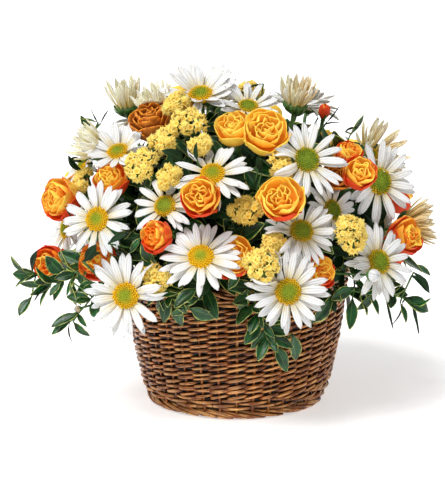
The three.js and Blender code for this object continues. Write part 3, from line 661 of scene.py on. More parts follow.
class DaisyPetal(Finish):
    """White petals, cream to tan where they leave the disc; shade is how tan a petal is."""

    title = "daisy_petal"
    # The emission glow of this coat is painted light, for light coming through the petals.
    coat = Coat(0.6, 0.25, glow=0.3, bump=0.6, relief_mm=0.4, painted_glow=0.05)

    def draw(self) -> None:
        """Draws the tan foot with its frayed end, tan streaks, and fine grooves of painted shade."""
        streaks = self.effect(Streaks, length=0.8, fineness=3.0)
        reach = self.line(self.shade, 0.45, self.line(self.tone, 0.22, 0.32))
        frayed = self.fray(self.along, streaks, 0.7)
        near = self.ramp(self.calc("DIVIDE", frayed, reach), 1.1, 0.1)
        self.colour = srgb(234, 234, 235)
        self.lay(self.blend(self.shade, srgb(222, 200, 116), srgb(184, 140, 62)), near, 0.85)
        aged = self.times(self.ramp(self.shade, 0.4, 0.75), self.ramp(frayed, 1.25, 0.3))
        self.lay(srgb(226, 196, 120), aged, 0.85)
        self.lay(srgb(140, 96, 40), self.times(streaks["Mask"], self.ramp(self.shade, 0.3, 1.0)), 0.8)
        # Painted shade in the grooves.
        self.groove(srgb(180, 174, 140), 0.42)
        self.lay(srgb(196, 192, 176), self.effect(Mottle, scale=40.0)["Mask"], 0.08)


class HalfOpenPetal(Finish):
    """Cream petals with white tips, ochre at their foot; shade is how ochre a petal is, from age and painted shade."""

    title = "half_open_petal"
    # The emission glow of this coat is painted light, for light coming through the petals.
    coat = Coat(0.6, 0.2, glow=0.2, bump=0.6, relief_mm=0.4, depth_mm=2.0, painted_glow=0.14)

    def draw(self) -> None:
        """Draws the foot, ochre of age and painted shade, and brown lines and fine grooves of painted shade."""
        streaks = self.effect(Streaks, length=0.9, fineness=2.5)
        frayed = self.fray(self.along, streaks, 0.9)
        self.colour = self.blend(self.tone, srgb(254, 254, 244), srgb(250, 246, 206))
        self.lay(srgb(230, 200, 96), self.ramp(frayed, 0.7, 0.05), 0.8)
        # The ochre is partly the petal's age and partly painted shade on the side away from the key light.
        self.lay(srgb(214, 164, 66), self.times(self.ramp(self.shade, 0.4, 1.0), self.ramp(frayed, 1.3, 0.6)), 0.7)
        # Painted shade: thin dark lines along the petal, like gaps between petals, stronger with shade.
        lines = self.times(self.ramp(streaks["Height"], 0.5, 0.56), self.ramp(frayed, 1.25, 0.7))
        self.lay(srgb(86, 68, 26), self.times(lines, self.line(self.shade, 0.6, 0.1)))
        # Painted shade in the grooves.
        self.groove(srgb(176, 156, 100), 0.35)


class RosePetal(Finish):
    """Golden petals, orange in the folds; shade is the blush to 0.95, and past 1 brown: fading and painted shade."""

    title = "rose_petal"
    # The emission glow of this coat is painted light, for light coming through the petals.
    coat = Coat(0.55, 0.2, glow=0.2, bump=0.35, depth_mm=2.0, painted_glow=0.07)

    def draw(self) -> None:
        """Draws the gold in patches, and the red or brown in streaks and along edges."""
        self.colour = self.blend(self.ramp(self.along, 0.75, 0.1), srgb(255, 220, 92), srgb(248, 156, 32))
        patches = self.effect(Mottle, scale=90.0)["Mask"]
        self.lay(srgb(254, 178, 40), patches, 0.35)
        self.lay(srgb(238, 122, 22), self.ramp(self.tone, 0.35, 1.0))
        streaks = self.effect(Streaks, length=0.5, fineness=4.0)
        # The brown is partly the colour of fading and partly painted shade for a rose that sits in shade.
        brown = self.blend(self.ramp(self.along, 0.4, 1.0), srgb(136, 70, 26), srgb(246, 156, 50))
        brown = self.blend(self.ramp(streaks["Height"], 0.45, 0.62), brown, srgb(186, 104, 36))
        red = self.blend(self.ramp(self.shade, 0.98, 1.0), srgb(214, 66, 28), brown)
        edge = self.times(self.effect(Margin, width=0.3, wander=0.6)["Mask"], self.line(self.shade, 0.4, 0.04))
        blush = self.fray(self.calc("ADD", self.line(patches, 0.22, self.shade), edge), streaks, 0.8)
        self.lay(red, self.ramp(blush, 0.5, 0.9))
        self.height = streaks["Height"]


class StaticeFloret(Finish):
    """Pale golden papery florets, deeper in their throats; shade is how deep their yellow is."""

    title = "statice_floret"
    # The emission glow of this coat is painted light, for light coming through the florets.
    coat = Coat(0.8, 0.1, glow=0.2, bump=0.35, relief_mm=0.2, depth_mm=2.0, painted_glow=0.06)

    def draw(self) -> None:
        """Draws the throat, the two depths of yellow, and crinkles."""
        self.colour = self.blend(self.ramp(self.along, 0.9, 0.1), srgb(255, 234, 132), srgb(240, 186, 60))
        self.lay(srgb(246, 208, 92), self.tone, 0.4)
        self.lay(srgb(206, 156, 56), self.shade, 0.7)
        self.height = self.effect(Ribs, count=3.0, wander=1.0)["Height"]


class DaisyDisc(Finish):
    """Florets of a daisy's disc, golden and green; shade is how green a floret is."""

    title = "daisy_disc"
    coat = Coat(0.8, 0.1, bump=0.3, relief_mm=0.1)

    def draw(self) -> None:
        """Draws the florets with paler tips, and a fine grain."""
        green = self.ramp(self.shade, 0.0, 1.0)
        gold = self.blend(self.tone, srgb(236, 190, 26), srgb(198, 134, 10))
        fresh = self.blend(self.tone, srgb(170, 178, 40), srgb(70, 106, 30))
        self.colour = self.blend(green, gold, fresh)
        tips = self.blend(green, srgb(244, 204, 50), srgb(160, 178, 60))
        self.lay(tips, self.ramp(self.along, 0.5, 1.0), 0.5)
        self.height = self.effect(Mottle, scale=900.0)["Mask"]


class StemGreen(Finish):
    """Fresh green of stems, bracts and sepals, with lengthwise ribs; shade is how dark it is."""

    title = "stem_green"
    coat = Coat(0.5, 0.4, relief_mm=0.2)

    def draw(self) -> None:
        """Draws the green in patches, and the ribs."""
        self.mottle(120.0, srgb(58, 96, 40), srgb(92, 130, 58))
        self.lay(srgb(34, 66, 30), self.tone, 0.4)
        self.lay(srgb(22, 44, 22), self.shade, 0.8)
        self.height = self.effect(Ribs, count=6.0, wander=0.4)["Height"]


class VariegatedLeaf(Finish):
    """Glossy dark leaves with a cream yellow margin of uneven width; shade is how faint the margin is."""

    title = "variegated_leaf"
    coat = Coat(0.3, 0.4, bump=0.35, relief_mm=0.25)

    def draw(self) -> None:
        """Draws the green in patches, the veins and the margin."""
        self.mottle(150.0, srgb(6, 38, 16), srgb(26, 92, 42))
        self.lay(srgb(16, 54, 22), self.tone, 0.6)
        self.vein(srgb(104, 146, 80), 0.4)
        margin = self.effect(Margin, width=0.1, wander=0.6)["Mask"]
        self.lay(srgb(198, 204, 104), self.times(margin, self.rest(self.shade)))


class PlainLeaf(Finish):
    """Deep green leaves that fill the inside of the arrangement; shade is how deep inside a leaf is,
    and darkens it as painted shade.
    """

    title = "plain_leaf"
    coat = Coat(0.42, 0.15, bump=0.35)

    def draw(self) -> None:
        """Draws the green in patches, the painted shade of depth, and the veins."""
        self.mottle(90.0, srgb(14, 34, 20), srgb(30, 62, 32))
        self.lay(srgb(38, 66, 34), self.tone, 0.6)
        # Painted shade: leaves deeper inside go darker.
        self.lay(srgb(10, 24, 14), self.shade, 0.9)
        self.vein(srgb(74, 104, 58), 0.3)


class BrownWillow(Finish):
    """Steamed brown willow, paler on the crown of each rod for wear and as a painted highlight, and darker on
    its flanks and behind the stakes as painted shade; shade is 1 on the crown.
    """

    title = "brown_willow"
    coat = Coat(0.26, 0.42, bump=0.9, relief_mm=0.5)

    def draw(self) -> None:
        """Draws bark streaks, patches, the pale crown of wear and painted highlight, dark bands, the painted shade
        on the flanks, and the knots.
        """
        streaks = self.effect(Streaks, length=9.0, fineness=5.0)
        dark = self.blend(self.tone, srgb(92, 42, 14), srgb(168, 86, 32))
        warm = self.blend(self.tone, srgb(236, 120, 34), srgb(255, 178, 74))
        self.colour = self.blend(streaks["Mask"], dark, warm)
        self.lay(srgb(84, 44, 28), self.effect(Mottle, scale=55.0)["Mask"], 0.4)
        # Wear and painted highlight: the crown of each rod is laid paler.
        self.lay(srgb(255, 208, 140), self.times(self.ramp(self.shade, 0.6, 1.0), streaks["Mask"]), 0.6)
        self.lay(srgb(84, 42, 24), self.effect(Streaks, length=24.0, fineness=1.0)["Mask"], 0.45)
        # Painted shade: the flanks of each rod, and rods behind the stakes, go nearly black.
        self.lay(srgb(16, 7, 4), self.ramp(self.shade, 0.9, 0.2), 0.95)
        knots = self.ramp(self.noise(self.paint, 0.35, 1.0), 0.36, 0.26)
        self.lay(srgb(40, 22, 16), knots, 0.7)
        self.height = streaks["Height"]


class LinerGreen(Finish):
    """Dark green moulded liner with faint scuffs; its near-black green is partly painted shade for the weave's gaps."""

    title = "liner_green"
    coat = Coat(0.45, 0.4, bump=0.15, relief_mm=0.2)

    def draw(self) -> None:
        """Draws the green in patches, and the scuffs."""
        # Near-black green: partly the liner's own colour, partly painted shade seen through the weave.
        self.mottle(35.0, srgb(16, 26, 20), srgb(24, 38, 28))
        streaks = self.effect(Streaks, length=30.0, fineness=40.0)
        self.lay(srgb(44, 58, 48), streaks["Mask"], 0.2)
        self.height = streaks["Height"]


class WetFoam(Finish):
    """Wet floral foam: dark green with open pores and damp patches."""

    title = "wet_foam"
    coat = Coat(0.95, 0.1, bump=0.8, relief_mm=0.8)

    def draw(self) -> None:
        """Draws the damp patches, and the pores darkened as painted shade."""
        self.height = self.noise(self.place, 1400.0, 2.0)
        self.mottle(45.0, srgb(22, 52, 32), srgb(40, 84, 50))
        # Painted shade in the pores, where the relief is low.
        self.lay(srgb(12, 28, 18), self.ramp(self.height, 0.6, 0.4))


class Finishes(Enum):
    """The finishes of the arrangement."""

    DAISY_PETAL = DaisyPetal
    HALF_OPEN_PETAL = HalfOpenPetal
    ROSE_PETAL = RosePetal
    STATICE = StaticeFloret
    DISC = DaisyDisc
    GREEN = StemGreen
    LEAF = VariegatedLeaf
    PLAIN_LEAF = PlainLeaf
    WILLOW = BrownWillow
    LINER = LinerGreen
    FOAM = WetFoam


# ---- Meshes


@cache
def sheet_faces(rows: int, cols: int) -> Faces:
    """Faces of a closed sheet: its face, its back, and the four edges between them.

    Args:
        rows: points along the sheet.
        cols: points across it.

    Returns:
        One row of four points a face; the points of the back come after those of the face.
    """
    top = np.arange(rows * cols).reshape(rows, cols)
    back = top + rows * cols
    patches = (
        (top[:-1, :-1], top[1:, :-1], top[1:, 1:], top[:-1, 1:]),
        (back[:-1, :-1], back[:-1, 1:], back[1:, 1:], back[1:, :-1]),
        (top[:-1, 0], back[:-1, 0], back[1:, 0], top[1:, 0]),
        (top[:-1, -1], top[1:, -1], back[1:, -1], back[:-1, -1]),
        (top[0, :-1], top[0, 1:], back[0, 1:], back[0, :-1]),
        (top[-1, :-1], back[-1, :-1], back[-1, 1:], top[-1, 1:]),
    )
    return np.concatenate([np.stack(patch, -1).reshape(-1, 4) for patch in patches])


@cache
def ring_faces(rings: int, sides: int) -> tuple[Faces, Faces]:
    """Faces of a closed skin of rings with a pole at each end.

    Args:
        rings: how many rings there are.
        sides: points of each ring.

    Returns:
        The quads, and the triangles at the poles, which come after the rings.
    """
    at = np.arange(rings * sides).reshape(rings, sides)
    after = np.roll(at, -1, axis=1)
    quads = np.stack([at[:-1], after[:-1], after[1:], at[1:]], -1).reshape(-1, 4)
    first, last = rings * sides, rings * sides + 1
    start = np.stack([np.full(sides, first), after[0], at[0]], -1)
    end = np.stack([np.full(sides, last), at[-1], after[-1]], -1)
    return quads, np.concatenate([start, end])


@dataclass
class Sheaf:
    """Closed meshes that become one piece, each with its finish, its paint and its shade."""

    name: str
    skins: list[tuple[Points, ...]] = field(default_factory=list)
    faces: list[tuple[Faces, ...]] = field(default_factory=list)
    finishes: list[Finishes] = field(default_factory=list)
    count: int = 0

    def add(self, points: Points, faces: Sequence[Faces], finish: Finishes, paint: Points, shade: Points) -> None:
        """Adds a mesh.

        Args:
            points: the places, in millimetres.
            faces: arrays of faces, each with one row a face.
            finish: the finish of all of them.
            paint: along, across and tone at each point.
            shade: one number at each point.
        """
        if finish not in self.finishes:
            self.finishes.append(finish)
        for group in faces:
            dress = np.full(len(group), self.finishes.index(finish))
            self.faces.append(((group + self.count).ravel(), np.full(len(group), group.shape[1]), dress))
        self.skins.append((points, paint, shade))
        self.count += len(points)

    def add_sheets(self, grids: Points, thickness: float, finish: Finishes, tones: Points, shades: Points) -> None:
        """Adds closed sheets.

        Args:
            grids: the middle surface of each, as (sheets, rows, columns, 3).
            thickness: between face and back.
            finish: their finish.
            tones: one number a sheet.
            shades: one number a sheet.
        """
        sheets, rows, cols, _ = grids.shape
        if not sheets:
            return
        normals = unit(np.cross(np.gradient(grids, axis=1), np.gradient(grids, axis=2)))
        half = 0.5 * thickness * normals
        points = np.stack([grids + half, grids - half], axis=1).reshape(-1, 3)
        per_sheet = 2 * rows * cols
        flat = np.stack(np.meshgrid(np.linspace(0, 1, rows), np.linspace(-1, 1, cols), indexing="ij"), -1)
        paint = np.column_stack([np.tile(flat.reshape(-1, 2), (2 * sheets, 1)), np.repeat(tones, per_sheet)])
        faces = sheet_faces(rows, cols)[None] + per_sheet * np.arange(sheets)[:, None, None]
        self.add(points, [faces.reshape(-1, 4)], finish, paint, np.repeat(shades, per_sheet))

    def add_rings(
        self, rings: Points, poles: Points, finish: Finishes, tone: float, along: Points, shade: Points
    ) -> None:
        """Adds a closed skin of rings with a pole at each end.

        Args:
            rings: places as (rings, sides, 3).
            poles: the two poles.
            finish: its finish.
            tone: one number for all of it.
            along: the distance along it at each ring.
            shade: one number at each ring point and pole.
        """
        count, sides, _ = rings.shape
        across = np.abs(2.0 * np.arange(sides) / sides - 1.0)
        lengths = np.concatenate([np.repeat(along, sides), along[[0, -1]]])
        sideways = np.concatenate([np.tile(across, count), [0.0, 0.0]])
        paint = np.column_stack([lengths, sideways, np.full(len(lengths), tone)])
        points = np.concatenate([rings.reshape(-1, 3), poles])
        self.add(points, list(ring_faces(count, sides)), finish, paint, shade)

    def add_rod(
        self, path: Points, radii: Points, sides: int, finish: Finishes, tone: float,
        out: Points | None = None, front: Points | float = 1.0,
    ) -> None:
        """Adds a round rod.

        Args:
            path: its centre line.
            radii: its radius at each place.
            sides: of its section.
            finish: its finish.
            tone: one number for the rod.
            out: the direction out of the basket at each place; its crown there gets wear and painted highlight.
            front: 1 where it lies in front of its stakes, and 0 behind them, where it gets painted shade.
        """
        tangents = unit(np.gradient(path, axis=0))
        wear_and_light = np.zeros(len(path) * sides)
        if out is None:
            first = np.empty_like(tangents)
            side = np.cross(tangents[0], [0.31, 0.22, 0.93])
            for i, tangent in enumerate(tangents):
                side = side - tangent * (side @ tangent)
                side = side / np.linalg.norm(side)
                first[i] = side
        else:
            first = unit(out - tangents * np.sum(out * tangents, axis=1, keepdims=True))
            # The crown, scaled by front, carries the willow's painted highlight and painted shade.
            crown = (0.5 + 0.5 * np.cos(around(sides)))[None] * np.broadcast_to(front, len(path))[:, None]
            wear_and_light = crown.ravel()
        rings = path[:, None] + radii[:, None, None] * spokes(first, np.cross(tangents, first), sides)
        self.add_rings(rings, path[[0, -1]], finish, tone, run(path), np.concatenate([wear_and_light, [0.0, 0.0]]))

    def add_turned(
        self, profile: Points, sides: int, finish: Finishes, place: Callable[[Points], Points],
        tone: float, shades: Points | None = None,
    ) -> None:
        """Adds a turned body.

        Args:
            profile: radius and height of each ring, from one pole to the other.
            sides: round the body.
            finish: its finish.
            place: moves the points to where they belong.
            tone: one number for the body.
            shades: one number for each ring and pole, or none for 0.
        """
        rings = profile[1:-1, :1, None] * level(around(sides)) + profile[1:-1, 1:, None] * [0, 0, 1]
        poles = profile[[0, -1], 1:] * [[0, 0, 1]]
        placed = place(rings.reshape(-1, 3)).reshape(rings.shape)
        each = np.zeros(len(profile)) if shades is None else shades
        shade = np.concatenate([np.repeat(each[1:-1], sides), each[[0, -1]]])
        self.add_rings(placed, place(poles), finish, tone, run(profile[1:-1]), shade)

    def piece(self, slot: str, *nodes: str) -> None:
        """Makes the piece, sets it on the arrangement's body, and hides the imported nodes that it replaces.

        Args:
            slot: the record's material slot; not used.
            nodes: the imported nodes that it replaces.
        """
        mesh = bpy.data.meshes.new(self.name)
        points, paints, shades = (np.concatenate(part) for part in zip(*self.skins, strict=True))
        corners, sizes, dress = (np.concatenate(part) for part in zip(*self.faces, strict=True))
        mesh.vertices.add(len(points))
        mesh.vertices.foreach_set("co", (points * METRES_PER_MM).astype(np.float32).ravel())
        mesh.loops.add(len(corners))
        mesh.loops.foreach_set("vertex_index", corners.astype(np.int32))
        mesh.polygons.add(len(sizes))
        starts = np.concatenate([[0], np.cumsum(sizes)[:-1]])
        mesh.polygons.foreach_set("loop_start", starts.astype(np.int32))
        mesh.polygons.foreach_set("material_index", dress.astype(np.int32))
        mesh.polygons.foreach_set("use_smooth", np.ones(len(sizes), dtype=bool))
        mesh.update(calc_edges=True)
        layers = (("paint", "FLOAT_VECTOR", "vector", paints), ("shade", "FLOAT", "value", shades))
        for name, kind, key, values in layers:
            made = mesh.attributes.new(name, kind, "POINT")
            made.data.foreach_set(key, values.astype(np.float32).ravel())
        mesh.validate()
        for finish in self.finishes:
            mesh.materials.append(finish.value.material())
        made = bpy.data.objects.new(self.name, mesh)
        bpy.context.scene.collection.objects.link(made)
        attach(made, "root")
        if nodes:
            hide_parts(*nodes)
        log.info("%s: %d triangles, %d finishes", self.name, int(np.sum(sizes - 2)), len(self.finishes))


# ---- Basket


@dataclass
class Wickerwork:
    """A part of the willow basket, of rods about its stakes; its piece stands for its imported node."""

    node: str
    title: str
    stakes: int = 36

    def __post_init__(self) -> None:
        """Begins the piece."""
        self.sheaf = Sheaf(self.title)

    def ring(self, stake: Points, radius: Points | float, z: Points | float) -> tuple[Points, Points]:
        """Places at stake counts, whole or not, and the direction away from the basket at each."""
        out = level(math.tau * stake / self.stakes)
        return np.column_stack([radius * out[:, 0], radius * out[:, 1], np.broadcast_to(z, len(stake))]), out

    def lay_rod(self, path: Points, radii: Points, tone: float, out: Points, front: Points | float = 1.0) -> None:
        """Adds a willow rod along a path, whose crown looks out; a low front gives it painted shade."""
        self.sheaf.add_rod(path, radii, ROD_SIDES, Finishes.WILLOW, tone, out, front)

    def weave(self) -> None:
        """Adds all rods of the part."""
        raise NotImplementedError

    def build(self) -> None:
        """Makes the piece."""
        self.weave()
        self.sheaf.piece("willow", self.node)


@dataclass
class Side(Wickerwork):
    """The side: upright stakes, slewed rods between them, and rounds of waling below and above."""

    stake_radius: float = 1.5
    stake_line: float = 2.4
    weave_line: float = 1.9
    sway: float = 2.0
    row_pitch: float = 2.5
    weave_low: float = 20.6
    weave_high: float = 99.0
    rod_butt: float = 1.5
    rod_tip: float = 1.28
    wale_radius: float = 1.35
    wales: tuple[tuple[float, ...], ...] = ((10.2, 12.6, 15.0, 17.4), (101.6, 104.4))
    steps: int = 5

    def add_stakes(self) -> None:
        """Adds upright stakes from the foot to the rim."""
        z = np.linspace(4.0, BASKET_HEIGHT - 5.0, 12)
        radii = np.linspace(self.stake_radius, 0.85 * self.stake_radius, len(z))
        for k in range(self.stakes):
            lean = 0.12 * wobble(3, k) * np.sin(np.pi * z / BASKET_HEIGHT)
            path, out = self.ring(k + lean, wall_radius(z) - self.stake_line, z)
            # A front of 0.7 paints the stakes darker: painted shade, as they lie mostly behind the rods.
            self.lay_rod(path, radii, wobble(5, k) + 0.5, out, 0.7)

    def add_slewing(self) -> None:
        """Adds rods that each start at their own stake and climb one row at each stake that they pass."""
        spans = (self.weave_high - self.weave_low) / self.row_pitch
        for k in range(self.stakes):
            stake = np.arange(k - 0.6, k + spans, 1.0 / self.steps)
            passed = stake - k
            wave = np.sin(0.9 * stake + 7.0 * wobble(9, k))
            z = self.weave_low + self.row_pitch * passed + 0.45 * wave + 0.45 * np.sin(1.3 * stake + 5.0 * k)
            front = np.tanh(2.2 * (np.cos(np.pi * passed) + 0.2))
            sway = self.sway * front + 0.35 * wave + 0.25 * np.sin(2.3 * stake + k)
            path, out = self.ring(stake, wall_radius(z) - self.weave_line + sway, z)
            girth = 1.0 + 0.26 * wobble(11, k) + 0.12 * np.sin(1.7 * stake + 3.0 * k)
            radii = girth * np.linspace(self.rod_butt, self.rod_tip, len(stake))
            # Painted shade: the rod darkens where it passes behind a stake.
            self.lay_rod(path, radii, wobble(7, k) + 0.5, out, 0.5 + 0.5 * front)

    def add_wale(self, number: int, height: float) -> None:
        """Adds a level round that passes in front of two stakes and behind one.

        Args:
            number: of the round in its wale.
            height: of the round.
        """
        stake = np.arange(0.0, self.stakes + 0.4, 1.0 / self.steps) + 5.0 * number
        phase = math.tau * (stake + number) / 3.0
        z = height + 0.4 * np.sin(phase) + 0.2 * np.sin(0.35 * stake + number)
        offset = self.sway * (0.15 + np.cos(phase))
        path, out = self.ring(stake, wall_radius(z) - self.weave_line + offset, z)
        radii = np.full(len(stake), self.wale_radius) * (1.0 + 0.08 * np.sin(0.6 * stake))
        # Painted shade: the round darkens where it passes behind a stake.
        self.lay_rod(path, radii, 0.6 * wobble(13, number) + 0.6, out, smooth_step(np.cos(phase), -0.8, 0.2))

    def weave(self) -> None:
        """Adds the stakes, the slewed rods and the waling."""
        self.add_stakes()
        self.add_slewing()
        for wale in self.wales:
            for number, height in enumerate(wale):
                self.add_wale(number, height)


@dataclass
class Border(Wickerwork):
    """A plaited border: each stake's end is laid over the next ones and down on the outside.

    ring_radius is the radius of the border's core and middle its height; lay is from the core to a rod's centre,
    rod is a rod's radius, reach counts the stakes that it passes, and light is the mean tone of the rods.
    """

    ring_radius: float = 0.0
    middle: float = 0.0
    lay: float = 0.0
    rod: float = 1.6
    reach: float = 0.0
    light: float = 0.5

    def weave(self) -> None:
        """Adds the laid ends, and the core inside them."""
        share = np.linspace(0.0, 1.0, 22)
        turn = np.radians(205.0 - 290.0 * share)
        for k in range(self.stakes):
            stake = k + self.reach * share * (1.0 + 0.3 * wobble(27, k))
            swell = self.lay * (1.0 + 0.14 * wobble(17, k) + 0.08 * np.sin(5.0 * share + k))
            path, out = self.ring(stake, self.ring_radius + swell * np.cos(turn), self.middle + swell * np.sin(turn))
            core, _ = self.ring(stake, self.ring_radius, self.middle)
            radii = self.rod * (1.0 + 0.12 * wobble(19, k)) * np.linspace(1.0, 0.85, len(share))
            self.lay_rod(path, radii, 0.5 * wobble(21, k) + self.light, unit(path - core) + 0.01 * out)
        path, out = self.ring(np.linspace(0.0, self.stakes + 0.2, 120), self.ring_radius, self.middle)
        self.lay_rod(path, np.full(len(path), 0.62 * self.lay), 0.1, out)


@dataclass
class Bottom(Wickerwork):
    """The woven bottom: crossed sticks, and rounds of rods woven about them as they spread."""

    radius: float = 68.0
    sticks: int = 8
    stick_radius: float = 1.9
    round_radius: float = 1.6
    first_round: float = 13.0
    round_pitch: float = 3.7

    def lay_below(self, angle: Points | float, reach: Points | float, z: Points, radius: float, tone: float) -> None:
        """Adds a six-sided rod, whose crown looks down, at angles, reaches and heights about the middle."""
        path = np.stack([reach * np.cos(angle), reach * np.sin(angle), z], -1)
        self.sheaf.add_rod(path, np.full(len(z), radius), STALK_SIDES, Finishes.WILLOW, tone, 0 * path - [0, 0, 1])

    def weave(self) -> None:
        """Adds the sticks and the rounds."""
        along = np.linspace(-self.radius, self.radius, 15)
        for k in range(self.sticks):
            rise = 2.3 + 1.5 * (k % 2) + 1.2 * np.abs(along) / self.radius
            self.lay_below(np.pi * k / self.sticks, along, rise, self.stick_radius, wobble(23, k) + 0.5)
        ends = 2 * self.sticks
        stake = np.arange(0.0, ends + 0.3, 0.2)
        angle = math.tau * stake / ends
        for number, radius in enumerate(np.arange(self.first_round, self.radius, self.round_pitch)):
            z = 3.4 + 0.9 * radius / self.radius + 1.3 * np.cos(np.pi * (stake + number))
            self.lay_below(angle, radius, z, self.round_radius, wobble(25, number) + 0.5)


@dataclass(frozen=True)
class Basket:
    """The willow basket: its woven side, its plaited rim and foot, and its woven bottom."""

    rim_ring: float = 93.5
    rim_middle: float = 110.45
    foot_ring: float = 73.5
    foot_height: float = 8.14

    def build(self) -> None:
        """Makes the basket's four pieces."""
        rim = {"ring_radius": self.rim_ring, "middle": self.rim_middle, "lay": 3.0, "reach": 3.3, "light": 0.45}
        foot = {"ring_radius": self.foot_ring, "middle": 0.5 * self.foot_height, "lay": 2.45}
        Side("basket_side", "basket_side_woven").build()
        Border("basket_rim_border", "basket_rim_plait", **rim).build()
        Border("basket_foot_border", "basket_foot_plait", **foot, reach=5.4, light=0.8).build()
        Bottom("basket_bottom", "basket_bottom_woven").build()


@dataclass(frozen=True)
class WaterHolder:
    """The liner in the basket and the block of foam in it."""

    wall_gap: float = 6.6
    liner_low: float = 7.94
    liner_top: float = 101.55
    foam_low: float = 9.84
    foam_gap: float = 1.0
    foam_brim: float = 95.5
    rounding: float = 14.0
    crumbs: float = 0.014
    foam_seed: int = 31
    sides: int = 72

    def build_liner(self) -> None:
        """Makes a thin pot with a rolled brim."""
        heights = np.linspace(self.liner_low + 5.0, self.liner_top, 14)
        outer = np.column_stack([wall_radius(heights) - self.wall_gap, heights])
        inner = outer[::-1] - [LINER_THICKNESS, 0.0]
        foot = outer[0, 0] - 5.0
        low = [[0.0, self.liner_low], [foot, self.liner_low]]
        lip = [[outer[-1, 0] - 0.3, self.liner_top + 0.8], [inner[0, 0] + 0.3, self.liner_top + 0.8]]
        floor = self.liner_low + LINER_THICKNESS
        profile = np.vstack([low, outer, lip, inner, [[foot - 1.0, floor], [0.0, floor]]])
        sheaf = Sheaf("liner_pot")
        sheaf.add_turned(profile, self.sides, Finishes.LINER, lambda p: p, 0.5)
        sheaf.piece("liner", "liner")

    def build_foam(self) -> None:
        """Makes the foam: it fills the liner, narrows above it, and has crumbled edges."""
        low = np.linspace(self.foam_low, self.foam_brim, 12)
        fit = wall_radius(low) - self.wall_gap - LINER_THICKNESS - self.foam_gap
        shoulder, bend = FOAM_TOP - self.rounding, self.rounding
        high = np.linspace(self.foam_brim + 7.0, shoulder, 9)
        crown = np.radians(np.linspace(8.0, 90.0, 8))
        rounding = np.column_stack([FOAM_RADIUS - bend + bend * np.cos(crown), shoulder + bend * np.sin(crown)])
        top = [[r, FOAM_TOP] for r in (32.0, 22.0, 12.0, 4.0, 0.0)]
        walls = np.vstack([np.column_stack([fit, low]), np.column_stack([np.full(9, FOAM_RADIUS), high])])
        profile = np.vstack([[[0.0, self.foam_low], [30.0, self.foam_low]], walls, rounding, top])
        rng = np.random.default_rng(self.foam_seed)

        def crumble(points: Points) -> Points:
            """The points, pushed in a little at random."""
            shares = 1.0 - self.crumbs * rng.random(len(points))
            return points * np.column_stack([shares, shares, np.ones(len(points))])

        sheaf = Sheaf("foam_block")
        sheaf.add_turned(profile, self.sides, Finishes.FOAM, crumble, 0.5)
        sheaf.piece("foam", "foam")

    def build(self) -> None:
        """Makes the liner and the foam."""
        self.build_liner()
        self.build_foam()


# ---- Stems


def stem_directions(aims: Sequence[Vector]) -> list[Vector]:
    """Directions of the stems from the heart: each aims at its flowers, and they are eased apart.

    Args:
        aims: what each stem aims at.

    Returns:
        A unit vector for each.
    """
    directions = [(aim - Vector(HEART)).normalized() for aim in aims]
    lowest, spacing = math.sin(math.radians(LOWEST_STEM)), math.radians(STEM_SPACING)
    for _ in range(40):
        for i, a in enumerate(directions):
            for b in directions[i + 1 :]:
                if a.dot(b) < 0.9:
                    continue
                short = spacing - a.angle(b)
                if short > 0.0:
                    push = 0.3 * short * (a - b).normalized()
                    a += push
                    b -= push
                    a.normalize()
                    b.normalize()
        for d in directions:
            if d.z < lowest:
                d.z = lowest
                d.normalize()
    return directions


def bezier(a: Points, b: Points, c: Points, d: Points, steps: int) -> Points:
    """Places along a cubic curve from a to d, which b and c pull."""
    t = np.linspace(0.0, 1.0, steps)[:, None]
    return (1 - t) ** 3 * a + 3 * (1 - t) ** 2 * t * b + 3 * (1 - t) * t**2 * c + t**3 * d


def course_curve(places: Points, steps: int) -> Points:
    """A smooth curve through places.

    Args:
        places: what it passes.
        steps: how many places it gets.

    Returns:
        Its places, at even steps along it.
    """
    knots = np.concatenate([[0.0], np.cumsum(np.sqrt(np.linalg.norm(np.diff(places, axis=0), axis=1)))])
    slopes = np.gradient(places, knots, axis=0)
    fine = np.linspace(0.0, knots[-1], 12 * steps)
    span = np.clip(np.searchsorted(knots, fine, side="right") - 1, 0, len(knots) - 2)
    width = (knots[span + 1] - knots[span])[:, None]
    t = ((fine - knots[span])[:, None]) / width
    h00, h10 = 2 * t**3 - 3 * t**2 + 1, t**3 - 2 * t**2 + t
    h01, h11 = -2 * t**3 + 3 * t**2, t**3 - t**2
    curve = h00 * places[span] + h10 * width * slopes[span] + h01 * places[span + 1] + h11 * width * slopes[span + 1]
    reached = run(curve)
    even = np.linspace(0.0, reached[-1], steps)
    return np.column_stack([np.interp(even, reached, curve[:, k]) for k in range(3)])


# ---- Flowers


def set_round(azimuth: Points, out: Points, side: Points, high: Points) -> Points:
    """Sheets at angles round an upright axis, from how far out, aside and high their places lie."""
    c, s = np.cos(azimuth)[:, None, None], np.sin(azimuth)[:, None, None]
    return np.stack(np.broadcast_arrays(out * c - side * s, out * s + side * c, high), -1)


